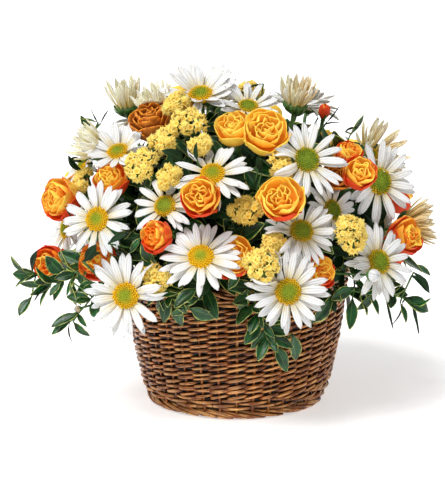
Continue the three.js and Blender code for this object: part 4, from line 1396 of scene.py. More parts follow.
@dataclass
class Crowd:
    """All heads, each with its kind, so that petals and leaves keep clear of them.

    A sheet that comes nearer to a head's middle than the core's share of its radius is left out. Leaves
    keep out of the view before a head, and sink below a daisy's petals.
    """

    heads: list[tuple[type["Head"], Bloom]]
    core: float = 0.35
    view: float = 30.0
    sink: float = 2.5
    steepest: float = 30.0

    def __post_init__(self) -> None:
        """Keeps the places, looks and sizes as arrays."""
        keys = ("at", "look", "span", "cup")
        self.at, self.look, self.span, self.cup = (np.array([getattr(b, key) for _, b in self.heads]) for key in keys)
        self.room = [kind.room for kind, _ in self.heads]
        self.flat = np.array([room is None for room in self.room])

    def bend_round(self, grids: Points) -> tuple[Points, Flags]:
        """Bends sheets round the roses and the statice.

        Args:
            grids: (sheets, rows, columns, 3).

        Returns:
            The bent sheets, and whether each stays: one that passes through a head doesn't.
        """
        keep = np.ones(len(grids), dtype=bool)
        for at, span, room in zip(self.at, self.span, self.room, strict=True):
            if room is None:
                continue
            radius = 0.5 * span + room
            away = grids - at
            distance = np.linalg.norm(away, axis=-1)
            keep &= distance.min(axis=(1, 2)) > self.core * radius
            inside = np.maximum(distance, 1e-6)
            share = np.where(inside < radius, radius / inside, 1.0)[..., None]
            grids = at + away * share
        return grids, keep

    def is_free(self, points: Points, room: float) -> Flags:
        """Whether places are clear of every head and of what it faces.

        Args:
            points: (places, 3).
            room: extra distance kept from a head.

        Returns:
            One flag a place.
        """
        away = points[:, None] - self.at[None]
        ahead = np.sum(away * self.look[None], axis=-1)
        aside = np.linalg.norm(away - ahead[..., None] * self.look[None], axis=-1)
        reach = 0.5 * self.span + room
        rise = np.where(self.flat, np.sin(np.radians(np.minimum(self.cup, self.steepest))) * aside, 0.0)
        before = self.flat & (ahead > rise - self.sink - room) & (ahead < self.view) & (aside < reach)
        within = ~self.flat & (np.hypot(np.minimum(ahead, 0.0), aside) < reach) & (ahead < self.view)
        return ~np.any(before | within, axis=1)


@dataclass
class Head:
    """A flower's head in the making; the kinds of flower build on it.

    turn is its turn about its own axis, sheaf takes its meshes, and crowd is all the heads. A kind gives
    its material slot, how far behind the bloom its stem ends, the first of its seeds, and the room that
    petals leave round it, or None where it is flat.
    """

    slot: ClassVar[str]
    back: ClassVar[float]
    seed: ClassVar[int]
    room: ClassVar[float | None]

    bloom: Bloom
    turn: float
    sheaf: Sheaf
    rng: Rng
    crowd: Crowd | None = None

    def place(self, points: Points) -> Points:
        """Points modelled looking up from the origin, set on the bloom's place and look."""
        placed = points.reshape(-1, 3) @ self.bloom.basis(self.turn).T + self.bloom.at
        return placed.reshape(points.shape)

    def jitter(self, *shape: int) -> Points:
        """Random numbers from -0.5 to 0.5."""
        return self.rng.random(shape) - 0.5

    def add_turned(
        self, profile: Points, sides: int, finish: Finishes, tone: float, shades: Points | None = None
    ) -> None:
        """Adds a turned body on the bloom's place."""
        self.sheaf.add_turned(profile, sides, finish, self.place, tone, shades)

    def add_blades(self, azimuth: Points, out: Points, side: Points, high: Points) -> None:
        """Adds green blades round the bloom, with the places that set_round takes."""
        tones, grids = self.rng.random(len(azimuth)), self.place(set_round(azimuth, out, side, high))
        self.sheaf.add_sheets(grids, BLADE_THICKNESS, Finishes.GREEN, tones, np.zeros(len(azimuth)))

    def build(self) -> None:
        """Adds the head to the sheaf."""
        raise NotImplementedError


@dataclass
class Spray:
    """A flower's stem with its branches and heads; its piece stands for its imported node.

    number is its place among all plants, and direction its stem's.
    """

    name: str
    blooms: tuple[Bloom, ...]
    kind: type[Head]
    number: int
    direction: Points
    crowd: Crowd

    def along(self, distance: float) -> Points:
        """A place on the stem's line out of the heart."""
        return HEART + distance * self.direction

    def build(self) -> None:
        """Makes the piece: a stem that runs on into the first branch, the others that fork from it, the heads."""
        sheaf, start = Sheaf(self.name + "_bloom"), self.along(STEM_FORK)
        for i, bloom in enumerate(self.blooms):
            end = bloom.at - bloom.look * self.kind.back
            span = float(np.linalg.norm(end - start))
            bends = (start + 0.4 * span * self.direction, end - 0.35 * span * bloom.look)
            foot = self.along(STEM_FORK - FORK_DEPTH if i else STEM_FOOT)
            path = np.vstack([foot, bezier(start, *bends, end, 12)])
            radii = np.full(len(path), BRANCH_RADIUS)
            if not i:
                radii[:3] = [STEM_RADIUS, STEM_RADIUS, 0.5 * (STEM_RADIUS + BRANCH_RADIUS)]
            radii[-4:] *= np.linspace(1.0, 1.15, 4)
            sheaf.add_rod(path, radii, ROD_SIDES, Finishes.GREEN, wobble(self.number, i) + 0.5)
        for i, bloom in enumerate(self.blooms):
            rng = np.random.default_rng(self.kind.seed + 10 * self.number + i)
            turn = math.tau * wobble(10 * self.number, i)
            self.kind(bloom, turn, sheaf, rng, self.crowd).build()
        sheaf.piece(self.kind.slot, self.name)


@dataclass(frozen=True)
class PetalRing:
    """One ring of a daisy's petals: how many, how they rise, where they start, and how they droop."""

    count: int
    rise: float
    start: float
    height: float
    length: float
    width: float
    droop: float


@dataclass
class DaisyHead(Head):
    """A daisy: rings of grooved petals round a domed disc of florets, on a cup of green bracts."""

    slot = "daisy"
    back = 3.0
    seed = 1000
    room = None
    florets: int = 120
    bracts: int = 20

    @property
    def half_open(self) -> bool:
        """Whether the daisy is only half open."""
        return self.bloom.cup > HALF_OPEN

    @property
    def rings(self) -> list[PetalRing]:
        """The petal rings of an open or a half-open daisy.

        Returns:
            The rings, from the lowest.
        """
        bloom, span = self.bloom, self.bloom.span
        if self.half_open:
            tip, width = 0.49 * span, 0.046 * span
            return [
                PetalRing(14, bloom.cup - 6, 0.2 * span, 0.4, tip, width, -16),
                PetalRing(12, bloom.cup + 3, 0.16 * span, 0.8, 0.98 * tip, width, -14),
                PetalRing(9, bloom.cup + 12, 0.11 * span, 1.2, 0.88 * tip, width, -12),
            ]
        count = round((14 if span > WIDE_DAISY else 13) / bloom.broad**0.7)
        tip, width = 0.4 * span, 0.047 * bloom.broad * span
        droop = 4 if bloom.cup > OPEN_CUP else 14
        return [
            PetalRing(count, bloom.cup - 5, 0.115 * span, 0.0, tip, width, droop),
            PetalRing(count - 1, bloom.cup + 6, 0.11 * span, 1.2, 0.95 * tip, width, droop + 4),
        ]

    def petals(self, ring: PetalRing, phase: float) -> Points:
        """The petals of a ring, looking up from the origin.

        Args:
            ring: the ring.
            phase: its turn against the ring below, as a share of a petal's room.

        Returns:
            The petals, as (petals, rows, columns, 3).
        """
        t = np.array([0.0, 0.1, 0.25, 0.42, 0.6, 0.76, 0.9, 1.0])[:, None]
        outline = np.array([0.36, 0.52, 0.76, 0.94, 1.0, 0.92, 0.62, 0.12])[:, None]
        u, n, each = np.linspace(-1.0, 1.0, 5), ring.count, (ring.count, 1, 1)
        azimuth = math.tau * (np.arange(n) + phase + 0.6 * self.jitter(n)) / n
        length = ring.length * (1.0 + 0.2 * self.jitter(*each))
        rise = np.radians(ring.rise + 15.0 * self.jitter(*each))
        droop = np.radians(ring.droop * (0.3 + 1.4 * self.rng.random(each)))
        twist = np.radians(34.0 * self.jitter(*each))
        swerve = 0.14 * self.jitter(*each)
        wide = ring.width * (1.0 + 0.3 * self.jitter(*each))
        angle = rise + np.radians(4.0) - droop * t**1.6
        step = np.diff(t, axis=0) * length
        mean = 0.5 * (angle[:, 1:] + angle[:, :-1])
        foot = np.zeros(each)
        out = ring.start + np.hstack([foot, np.cumsum(step * np.cos(mean), axis=1)])
        high = ring.height + np.hstack([foot, np.cumsum(step * np.sin(mean), axis=1)])
        trough = 0.28 * wide * u**2 * (1.0 - 0.8 * t)
        wide = wide * outline * u
        lift = trough - 0.4 * np.sin(np.pi * u) ** 2 * np.minimum(1.0, 4.0 * t) + wide * np.tan(twist) * t
        notch = np.zeros((len(t), len(u)))
        notch[-1] = [-0.6, 0.2, -0.2, 0.2, -0.6]
        r = out - lift * np.sin(angle) + notch * np.cos(angle)
        z = high + lift * np.cos(angle) + notch * np.sin(angle)
        return set_round(azimuth, r, wide + swerve * length * t**2, z)

    def build_disc(self) -> None:
        """Adds the disc: a low dome set with florets, larger and golden at its edge."""
        bloom, count, lobes = self.bloom, self.florets, 5
        radius = (0.1 if self.half_open else 0.16) * bloom.span
        height = 0.34 * radius + 1.2
        arc = np.radians(np.linspace(0.0, 90.0, 7))
        dome = np.column_stack([radius * np.cos(arc), 0.6 + height * np.sin(arc)])
        profile = np.vstack([[[0.0, -1.2], [0.6 * radius, -1.2]], dome[:-1], [[0.0, dome[-1, 1]]]])
        fresh = 0.3 + 0.75 * bloom.tint
        shades = np.clip(0.5 + 1.5 * (fresh - profile[:, 0] / radius), 0.0, 1.0)
        self.add_turned(profile, 18, Finishes.DISC, bloom.tint, shades)
        k = np.arange(count) + 0.5
        share = np.sqrt(k / count)
        spin, r = level(seed_angles(k)), 0.98 * radius * share[:, None]
        z = 0.6 + height * np.sqrt(np.maximum(0.0, 1.0 - share[:, None] ** 2 * 0.96))
        size = ((0.6 + 0.5 * share**2) * radius / 9.0 * (0.85 + 0.3 * self.rng.random(count)))[:, None, None]
        base = r * spin + z * [0, 0, 1]
        normal = unit(0.7 * r * spin + [0, 0, radius])
        side = unit(np.cross(normal, [0.0, 0.1, 1.0]))
        base, up = base[:, None], normal[:, None]
        ring = base + size * (spokes(side, np.cross(normal, side), lobes) + 0.5 * up)
        tip = base + size * (1.0 + 0.7 * share)[:, None, None] * up
        foot = base - 0.8 * size * up
        points = np.concatenate([ring, tip, foot], axis=1)
        at = np.arange(lobes)
        after = (at + 1) % lobes
        fans = ((at, after, np.full(lobes, lobes)), (after, at, np.full(lobes, lobes + 1)))
        bead = np.concatenate([np.stack(fan, -1) for fan in fans])
        each = lobes + 2
        faces = (bead[None] + each * np.arange(count)[:, None, None]).reshape(-1, 3)
        middle = np.clip(0.5 + 1.5 * (fresh - share) + 0.3 * self.jitter(count), 0.0, 1.0)
        along = np.tile([0.5] * lobes + [1.0, 0.0], count)
        tones = 0.45 * self.rng.random(count) + 0.55 * bloom.tint
        paint = np.column_stack([along, np.zeros(each * count), np.repeat(tones, each)])
        placed = self.place(points.reshape(-1, 3))
        self.sheaf.add(placed, [faces], Finishes.DISC, paint, np.repeat(middle, each))

    def build_cup(self) -> None:
        """Adds the green cup under the petals, with two rings of pointed bracts."""
        wide = (0.24 if self.half_open else 0.13) * self.bloom.span
        deep = 0.62 * wide + 2.0
        low = [[0.0, -deep - 1.0], [1.7, -deep - 1.0], [2.4, -deep], [0.62 * wide, -0.72 * deep]]
        high = [[0.92 * wide, -0.3 * deep], [0.97 * wide, 0.1], [0.0, 0.6]]
        self.add_turned(np.array(low + high), 14, Finishes.GREEN, 0.3)
        n = self.bracts
        t, knots = np.linspace(0.0, 1.0, 4), [0, 0.4, 0.75, 1]
        azimuth = math.tau * (np.arange(n) + 0.3 * self.rng.random(n)) / n
        outer = (np.arange(n) % 2)[:, None]
        r = np.interp(t, knots, [0.3, 0.8, 1.02, 1.08])[None] * wide + 0.5 * outer
        z = -deep + (deep * np.interp(t, knots, [0.0, 0.45, 0.85, 1.18]))[None] - 0.8 * outer
        half = 0.2 * wide * np.array([0.7, 1.0, 0.8, 0.1])
        side = half[None, :, None] * np.linspace(-1.0, 1.0, 3)[None, None]
        self.add_blades(azimuth, r[..., None] - 0.12 * np.abs(side), side, z[..., None])

    def build(self) -> None:
        """Adds the petals, the disc and the cup."""
        bloom, rng = self.bloom, self.rng
        finish = Finishes.HALF_OPEN_PETAL if self.half_open else Finishes.DAISY_PETAL
        for layer, ring in enumerate(self.rings):
            placed = self.place(self.petals(ring, 0.5 * layer))
            bent, keep = self.crowd.bend_round(placed)
            tones, shades = rng.random(ring.count), 0.4 * rng.random(ring.count)
            if self.half_open:
                # Petals to the right, away from the key light, get more ochre and darker lines: partly age, partly
                # painted shade.
                aside = (placed[:, -1, 2, 0] - bloom.x) / (0.4 * bloom.span)
                shades = np.clip(0.12 + 0.75 * bloom.tint + 0.3 * aside + shades, 0.2, 1.0)
            self.sheaf.add_sheets(bent[keep], PETAL_THICKNESS, finish, tones[keep], shades[keep])
        self.build_disc()
        self.build_cup()


@dataclass(frozen=True)
class RoseLayer:
    """A layer of a rose's petals: how many, their radius and height at five shares, and their ruffle.

    Radii and heights are shares of half the rose's span; sweep is half the angle that a petal spans;
    outer is 1 for the outermost layer and 0 for the inner ones.
    """

    count: int
    radii: tuple[float, ...]
    heights: tuple[float, ...]
    sweep: float
    ruffle: float
    outer: float


ROSE_LAYERS = (
    RoseLayer(2, (0.03, 0.12, 0.17, 0.16, 0.09), (-0.3, 0.0, 0.36, 0.6, 0.68), 122, 0.03, 0.0),
    RoseLayer(3, (0.04, 0.22, 0.33, 0.35, 0.27), (-0.35, -0.05, 0.34, 0.62, 0.74), 78, 0.09, 0.0),
    RoseLayer(4, (0.05, 0.36, 0.53, 0.56, 0.47), (-0.4, -0.12, 0.3, 0.58, 0.72), 60, 0.1, 0.1),
    RoseLayer(4, (0.07, 0.5, 0.75, 0.81, 0.7), (-0.48, -0.26, 0.16, 0.52, 0.7), 64, 0.06, 0.4),
    RoseLayer(5, (0.1, 0.62, 0.95, 1.02, 0.92), (-0.6, -0.46, -0.1, 0.3, 0.56), 52, 0.025, 1.0),
)
BUD_LAYERS = (
    RoseLayer(2, (0.03, 0.3, 0.4, 0.34, 0.06), (-0.5, -0.2, 0.2, 0.56, 0.84), 110, 0.0, 0.5),
    RoseLayer(3, (0.05, 0.42, 0.54, 0.46, 0.13), (-0.6, -0.32, 0.1, 0.5, 0.8), 76, 0.01, 1.0),
)


@dataclass
class RoseHead(Head):
    """A spray rose: cupped petals laid round each other, over five sepals and a small hip."""

    slot = "rose"
    back = 6.0
    seed = 2000
    room = 0.0
    sepals: int = 5

    @property
    def size(self) -> float:
        """Half the rose's span."""
        return 0.5 * self.bloom.span

    def petals(self, layer: RoseLayer) -> Points:
        """The petals of a layer, looking up from the origin.

        Args:
            layer: the layer.

        Returns:
            The petals, as (petals, rows, columns, 3).
        """
        v = np.array([0.0, 0.15, 0.3, 0.45, 0.6, 0.75, 0.86, 0.94, 1.0])[:, None]
        u = np.linspace(-1.0, 1.0, 11)
        n, size, knots = layer.count, self.size, np.linspace(0.0, 1.0, 5)
        azimuth = math.tau * (np.arange(n) + self.rng.random() + 0.2 * self.jitter(n)) / n
        grow = 1.0 + (0.26 - 0.12 * layer.outer) * self.jitter(n, 1, 1)
        share = v * (1.0 - 0.26 * np.abs(u) ** 3)
        radius = np.interp(share, knots, layer.radii) * 0.9 * size
        height = np.interp(share, knots, layer.heights) * size
        angle = np.radians(layer.sweep) * np.interp(v, [0.0, 0.3, 0.7, 1.0], [0.5, 0.9, 1.0, 0.82]) * u
        phase = math.tau * self.rng.random((n, 1, 1))
        wave = np.sin(4.2 * u + phase) + 0.5 * np.sin(7.6 * u - 2.0 * phase)
        ruffle = layer.ruffle * size * wave * v**1.5
        rim = smooth_step(v, 0.78, 1.0)
        r = radius * grow + ruffle + 0.045 * size * u + 0.05 * size * rim * (0.3 + layer.outer)
        z = height * (0.5 + 0.5 * grow) + 0.4 * ruffle - 0.06 * size * (0.2 + layer.outer) * rim**2
        theta = azimuth[:, None, None] + angle
        aside = 0.12 * size * (1.0 - layer.outer) * self.jitter(2) * v[..., None]
        return np.stack([r * np.cos(theta), r * np.sin(theta), z], -1) + np.pad(aside, ((0, 0), (0, 0), (0, 1)))

    def build_sepals(self) -> None:
        """Adds pointed sepals that curl back from under the rose, and the hip below them."""
        n, size = self.sepals, self.size
        t = np.linspace(0.0, 1.0, 7)[None]
        azimuth = math.tau * (np.arange(n) + 0.2 * self.rng.random(n)) / n
        hug = np.full((n, 1), 1.0) if self.bloom.bud else 0.2 * self.rng.random((n, 1))
        r = size * (0.12 + (0.66 - 0.16 * hug) * t)
        z = size * (-0.66 + (0.06 + 0.7 * hug) * t)
        half = size * 0.15 * np.array([0.9, 1.0, 0.95, 0.75, 0.5, 0.28, 0.06])
        side = half[None, :, None] * np.linspace(-1.0, 1.0, 3)[None, None]
        self.add_blades(azimuth, r[..., None], side, z[..., None] + 0.5 * np.abs(side))
        hip = np.array([[0, -0.95], [0.09, -0.95], [0.17, -0.85], [0.2, -0.72], [0.15, -0.6], [0.0, -0.56]])
        self.add_turned(hip * size, 12, Finishes.GREEN, 0.2)

    def build(self) -> None:
        """Adds the petals, redder low down on the outer ones, and what carries them."""
        bloom, rng = self.bloom, self.rng
        for layer in BUD_LAYERS if bloom.bud else ROSE_LAYERS:
            placed = self.place(self.petals(layer))
            blush = layer.outer * bloom.tint * 0.9 + 0.22 * bloom.tint
            below = np.clip((bloom.z - placed[:, 5, 5, 2]) / self.size, 0.0, 1.0)
            shades = blush * (0.6 + 0.8 * rng.random(layer.count)) + 1.4 * layer.outer * below * (bloom.tint > 0.2)
            tones = np.clip(0.7 * rng.random(layer.count) + 0.9 * (bloom.tint - 0.3), 0.0, 1.0)
            # A rose marked brown is painted brown all over, partly as painted shade for a rose in shade.
            shades = np.full(layer.count, 1.0 + bloom.faded) if bloom.faded else np.clip(shades, 0.0, 0.95)
            self.sheaf.add_sheets(placed, THICK_PETAL, Finishes.ROSE_PETAL, tones, shades)
        self.build_sepals()


@dataclass
class StaticeHead(Head):
    """A low cluster of statice: small crinkled florets in tufts on short branchlets."""

    slot = "statice"
    back = 4.0
    seed = 3000
    room = 2.0
    florets: int = 13
    lobes: int = 10

    def build(self) -> None:
        """Adds uneven tufts of florets with gaps between them."""
        rng, span = self.rng, self.bloom.span
        tufts = 6 + int(span > 25) + int(span > 29)
        k = np.arange(tufts)
        tilt = np.radians(np.where(k, 58.0, 4.0) + 14.0 * self.jitter(tufts))
        spin = math.tau * (k + 0.4 * rng.random(tufts)) / (tufts - 1)
        looks = np.column_stack([np.sin(tilt) * np.cos(spin), np.sin(tilt) * np.sin(spin), np.cos(tilt)])
        middles = looks * [1.08, 1.08, 0.6] * (0.28 * span * (0.65 + 0.55 * rng.random(tufts)))[:, None]
        for middle, look in zip(middles, looks, strict=True):
            self.build_tuft(middle, look)

    def build_tuft(self, middle: Points, look: Points) -> None:
        """Adds one tuft of the cluster on its branchlet.

        Args:
            middle: the tuft's middle in the cluster.
            look: the direction that it faces.
        """
        count, rng, span = self.florets, self.rng, self.bloom.span
        k = np.arange(count) + 0.5
        cosine = 1.0 - 0.7 * k / count
        sine = np.sqrt(1.0 - cosine**2)
        spin = seed_angles(k) + 6.0 * rng.random()
        side = unit(np.cross(look, [0.2, 0.9, 0.3]))
        other = np.cross(look, side)
        out = (sine * np.cos(spin))[:, None] * side + (sine * np.sin(spin))[:, None] * other + cosine[:, None] * look
        out = unit(out + 0.5 * self.jitter(count, 3))
        reach = 0.19 * span * (0.75 + 0.35 * rng.random(count)) * (0.7 + 0.5 * rng.random())
        self.build_florets(middle + out * reach[:, None], out)
        arc = np.radians(np.linspace(-70.0, 70.0, 5))
        profile = poled(0.13 * span * np.column_stack([np.cos(arc), np.sin(arc)]))
        self.sheaf.add_turned(profile, 9, Finishes.GREEN, lambda p: self.place(p + middle), 0.6)
        root = np.array([0.0, 0.0, -0.26 * span])
        ends = self.place(np.array([root, 0.5 * (root + middle) + 0.1 * middle, middle]))
        self.sheaf.add_rod(ends, np.array([0.9, 0.8, 0.7]), TWIG_SIDES, Finishes.GREEN, 0.5)

    def build_florets(self, base: Points, out: Points) -> None:
        """Adds the florets of a tuft: crinkled cups, each of an outer and an inner shell.

        Args:
            base: the middle of each floret.
            out: the direction that each faces.
        """
        count, lobes, rng = len(base), self.lobes, self.rng
        side = unit(np.cross(out, [0.3, 0.1, 1.0]))
        rays = spokes(side, np.cross(out, side), lobes)
        size = (1.8 + 1.4 * rng.random(count))[:, None, None]
        crinkle = np.where(np.arange(lobes) % 2, 1.0, -1.0)[None, :, None]
        rim_r = 1.0 + 0.2 * crinkle + 0.5 * self.jitter(count, lobes, 1)
        rim_z = 0.5 + 0.25 * crinkle + 0.8 * self.jitter(count, lobes, 1)
        up, middle = out[:, None], base[:, None]
        shells = []
        for lift in (0.16, -0.16):
            neck = middle + size * (0.42 * rays + (0.12 + lift) * up)
            rim = middle + size * (rim_r * rays + (rim_z + 0.5 * lift) * up)
            pit = middle + size * ((lift - 0.25) * up)
            shells.append(np.concatenate([neck, rim, pit], axis=1))
        points = np.concatenate(shells, axis=1)
        per_shell = 2 * lobes + 1
        at = np.arange(lobes)
        after = (at + 1) % lobes
        rim_at, rim_after, pit_at = at + lobes, after + lobes, np.full(lobes, 2 * lobes)
        under = per_shell
        walls = (
            (at, rim_at, rim_after, after),
            (at + under, after + under, rim_after + under, rim_at + under),
            (rim_at, rim_at + under, rim_after + under, rim_after),
        )
        fans = ((pit_at, at, after), (pit_at + under, after + under, at + under))
        offsets = 2 * per_shell * np.arange(count)[:, None, None]
        groups = [
            (np.concatenate([np.stack(part, -1) for part in parts])[None] + offsets).reshape(-1, len(parts[0]))
            for parts in (walls, fans)
        ]
        folds = np.cos(5 * around(lobes))
        along = np.concatenate([np.full(lobes, 0.45), np.ones(lobes), [0.0]])
        flat = np.tile(np.column_stack([along, np.concatenate([folds, folds, [0.0]])]), (2 * count, 1))
        paint = np.column_stack([flat, np.repeat(rng.random(count), 2 * per_shell)])
        shades = np.repeat(self.bloom.tint * (0.6 + 0.8 * rng.random(count)), 2 * per_shell)
        self.sheaf.add(self.place(points.reshape(-1, 3)), groups, Finishes.STATICE, paint, shades)


# ---- Foliage


def leaf_grids(
    roots: Points, along: Points, normals: Points, lengths: Points, rng: Rng, breadth: float = 1.0
) -> Points:
    """Leaves that fold a little on their midribs, roll about them, and curl towards their tips.

    Args:
        roots: where each leaf leaves its stem.
        along: the direction of each leaf.
        normals: the direction that its face looks.
        lengths: of the leaves.
        rng: random numbers for curl and fold.
        breadth: width of the leaves against the usual one.

    Returns:
        The leaves as (leaves, rows, columns, 3).
    """
    each = (len(roots), 1, 1)
    t, u = np.linspace(0.0, 1.0, 8)[:, None], np.linspace(-1.0, 1.0, 5)
    outline = np.array([0.1, 0.38, 0.8, 0.98, 1.0, 0.86, 0.56, 0.08])[:, None]
    lengths = lengths.reshape(each)
    wide = 0.235 * breadth * lengths * (0.8 + 0.35 * rng.random(each)) * outline * u
    fold = 0.15 + 0.45 * rng.random(each)
    curl = 0.5 * (rng.random(each) - 0.3)
    sway = 0.3 * (rng.random(each) - 0.5)
    roll = 1.3 * (rng.random(len(roots)) - 0.5)[:, None]
    normals = np.cos(roll) * normals + np.sin(roll) * np.cross(along, normals)
    ripple = 0.05 * (rng.random(each) - 0.5) * lengths * np.sin(9.0 * t + 2.0 * u) * np.abs(u)
    lift = fold * np.abs(wide) - curl * lengths * t**2 + ripple
    side = wide + sway * lengths * t**2
    vectors = (roots, along, unit(np.cross(normals, along)), normals)
    roots, along, across, normals = (v[:, None, None] for v in vectors)
    return roots + (lengths * t)[..., None] * along + side[..., None] * across + lift[..., None] * normals


@dataclass
class Sprig:
    """A sprig of small variegated leaves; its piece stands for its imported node.

    Each place on the stem has a leaf to each side and one that faces outward, and its end has one leaf;
    first, spread and last say where the places are, as shares of the stem.
    """

    name: str
    course: Course
    number: int
    direction: Points
    crowd: Crowd
    first: float = 0.42
    spread: float = 0.54
    last: float = 0.985
    pair_sizes: tuple[float, ...] = (1.0, 0.84, 0.66)
    seed: int = 4000

    @property
    def curve(self) -> Points:
        """The line of the stem outside the foam."""
        return course_curve(np.vstack([HEART + STEM_FORK * self.direction, *self.course.path]), 40)

    def build(self) -> None:
        """Makes the sprig: its stem, and the leaves that are clear of the flowers."""
        sheaf, curve, rows = Sheaf(self.name + "_leaves"), self.curve, []
        path = np.vstack([HEART + STEM_FOOT * self.direction, curve])
        sheaf.add_rod(path, np.linspace(STEM_RADIUS, 0.7 * TIP_RADIUS, len(path)), STALK_SIDES, Finishes.GREEN, 0.4)
        seed, n = 10 * self.number, self.course.leaves
        rng = np.random.default_rng(self.seed + seed)
        for i in range(n):
            end = i == n - 1
            index = (self.last if end else self.first + self.spread * i / (n - 1)) * (len(curve) - 1)
            low = int(index)
            after = min(low + 1, len(curve) - 1)
            root = curve[low] + (index - low) * (curve[after] - curve[low])
            tangent = unit(curve[after] - curve[max(low - 1, 0)])
            outward = root - HEART
            outward = unit(outward - tangent * (outward @ tangent))
            side = np.cross(tangent, outward)
            for pair, hand in enumerate((1,) if end else (1, -1, 0) if i % 2 else (-1, 1, 0)):
                turn = 0.0 if end else math.radians(58 + 24 * wobble(seed + 5 * pair, i)) * hand
                rise = 0.25 + 0.5 * wobble(seed + 1 + pair, i) + (pair == 2) * (0.6 + 0.6 * rng.random())
                leaf = math.cos(turn) * tangent + math.sin(turn) * side
                leaf = unit(leaf + rise * outward + 0.4 * (rng.random(3) - 0.5))
                length = self.course.leaf * (1.0 + 0.3 * wobble(seed + 2 + pair, i)) * self.pair_sizes[pair]
                normal = np.cross(leaf, unit(np.cross(outward, leaf)))
                rows.append((root + (1.5 * tangent if pair else 0.0), leaf, normal, length))
        roots, leaves, normals, lengths = (np.array(column) for column in zip(*rows, strict=True))
        free = self.crowd.is_free(roots + 0.6 * lengths[:, None] * leaves, -3.0)
        grids = leaf_grids(roots, leaves, normals, lengths, rng)[free]
        tones = rng.random(len(grids))
        sheaf.add_sheets(grids, LEAF_THICKNESS, Finishes.LEAF, tones, 0.3 * rng.random(len(grids)))
        sheaf.piece("foliage", self.name)


@dataclass
class Filler:
    """Short leafy stems that fill the dome between the flowers and hide the foam.

    inner and outer are the distances from the heart where the stems begin and end; fresh_beyond is the
    distance beyond which a leaf may be a variegated one, and fresh_share how many of these are.
    """

    crowd: Crowd
    stems: int = 150
    inner: float = 39.2
    outer: float = 134.0
    per_stem: int = 9
    steps: int = 9
    fewest: int = 4
    lowest_leaf: float = 92.0
    fresh_beyond: float = 106.0
    fresh_share: float = 0.6
    seed: int = 5000

    def build(self) -> None:
        """Makes the filling foliage, in four pieces round the dome."""
        rng = np.random.default_rng(self.seed)
        k = np.arange(self.stems) + 0.5
        height = 0.02 + 0.97 * k / self.stems
        spin, level = seed_angles(k), np.sqrt(1.0 - height**2)
        quarters = [Sheaf(f"filling_foliage_{number}") for number in (1, 2, 3, 4)]
        for out in np.column_stack([level * np.cos(spin), level * np.sin(spin), height]):
            quarter = int((math.atan2(out[1], out[0]) + math.pi) / (0.5 * math.pi)) % 4
            self.build_stem(quarters[quarter], out, rng)
        for sheaf in quarters:
            sheaf.piece("foliage")

    def build_stem(self, sheaf: Sheaf, out: Points, rng: Rng) -> None:
        """Adds one stem, as far as it is clear of the flowers, with its leaves.

        Args:
            sheaf: takes it.
            out: its direction out of the heart.
            rng: the foliage's random numbers.
        """
        bent = unit(out + 0.3 * (rng.random(3) - 0.5) + [0.0, 0.0, 0.06])
        reach = self.outer * (0.8 + 0.2 * rng.random())
        shares = np.linspace(0.0, 1.0, self.steps)[:, None]
        path = HEART + (self.inner + (reach - self.inner) * shares) * unit(out * (1.0 - shares) + bent * shares)
        free = self.crowd.is_free(path, -4.0)
        length = len(free) if free.all() else int(np.argmin(free))
        if length < self.fewest:
            return
        path = path[:length]
        sheaf.add_rod(path, np.linspace(1.1, 0.6, length), TWIG_SIDES, Finishes.GREEN, 0.8)
        n = self.per_stem
        index = np.linspace(0.25, 1.0, n) * (length - 1)
        roots = np.column_stack([np.interp(index, np.arange(length), path[:, a]) for a in range(3)])
        tangent = unit(path[-1] - path[0])
        side = unit(np.cross(tangent, rng.random(3) - 0.5))
        angle = (2.4 * np.arange(n) + 6.0 * rng.random())[:, None]
        leaves = np.cos(angle) * side + np.sin(angle) * np.cross(tangent, side)
        leaves = unit(leaves + (0.35 + 0.5 * rng.random(n))[:, None] * tangent)
        normals = unit(tangent + 0.5 * (rng.random((n, 3)) - 0.5))
        normals = unit(normals - leaves * np.sum(normals * leaves, axis=1, keepdims=True))
        lengths = 22.0 + 12.0 * rng.random(n)
        tips, waists = roots + lengths[:, None] * leaves, roots + 0.55 * lengths[:, None] * leaves
        clear = self.crowd.is_free(tips, 0.0) & self.crowd.is_free(waists, 0.0) & (tips[:, 2] > self.lowest_leaf)
        over_rim = np.hypot(tips[:, 0], tips[:, 1]) < RIM_RADIUS + 8.0
        clear &= ~(over_rim & (tips[:, 2] < BASKET_HEIGHT + 3.0))
        grids = leaf_grids(roots, leaves, normals, lengths, rng)
        deep = np.linalg.norm(waists - HEART, axis=1)
        fresh = clear & (deep > self.fresh_beyond) & (rng.random(n) < self.fresh_share)
        # Plain leaves nearer the heart get more painted shade.
        plain, tones, shades = clear & ~fresh, rng.random(n), smooth_step(-deep, -110, -70)
        sheaf.add_sheets(grids[plain], LEAF_THICKNESS, Finishes.PLAIN_LEAF, tones[plain], shades[plain])
        sheaf.add_sheets(grids[fresh], LEAF_THICKNESS, Finishes.LEAF, tones[fresh], 0.3 * tones[fresh])


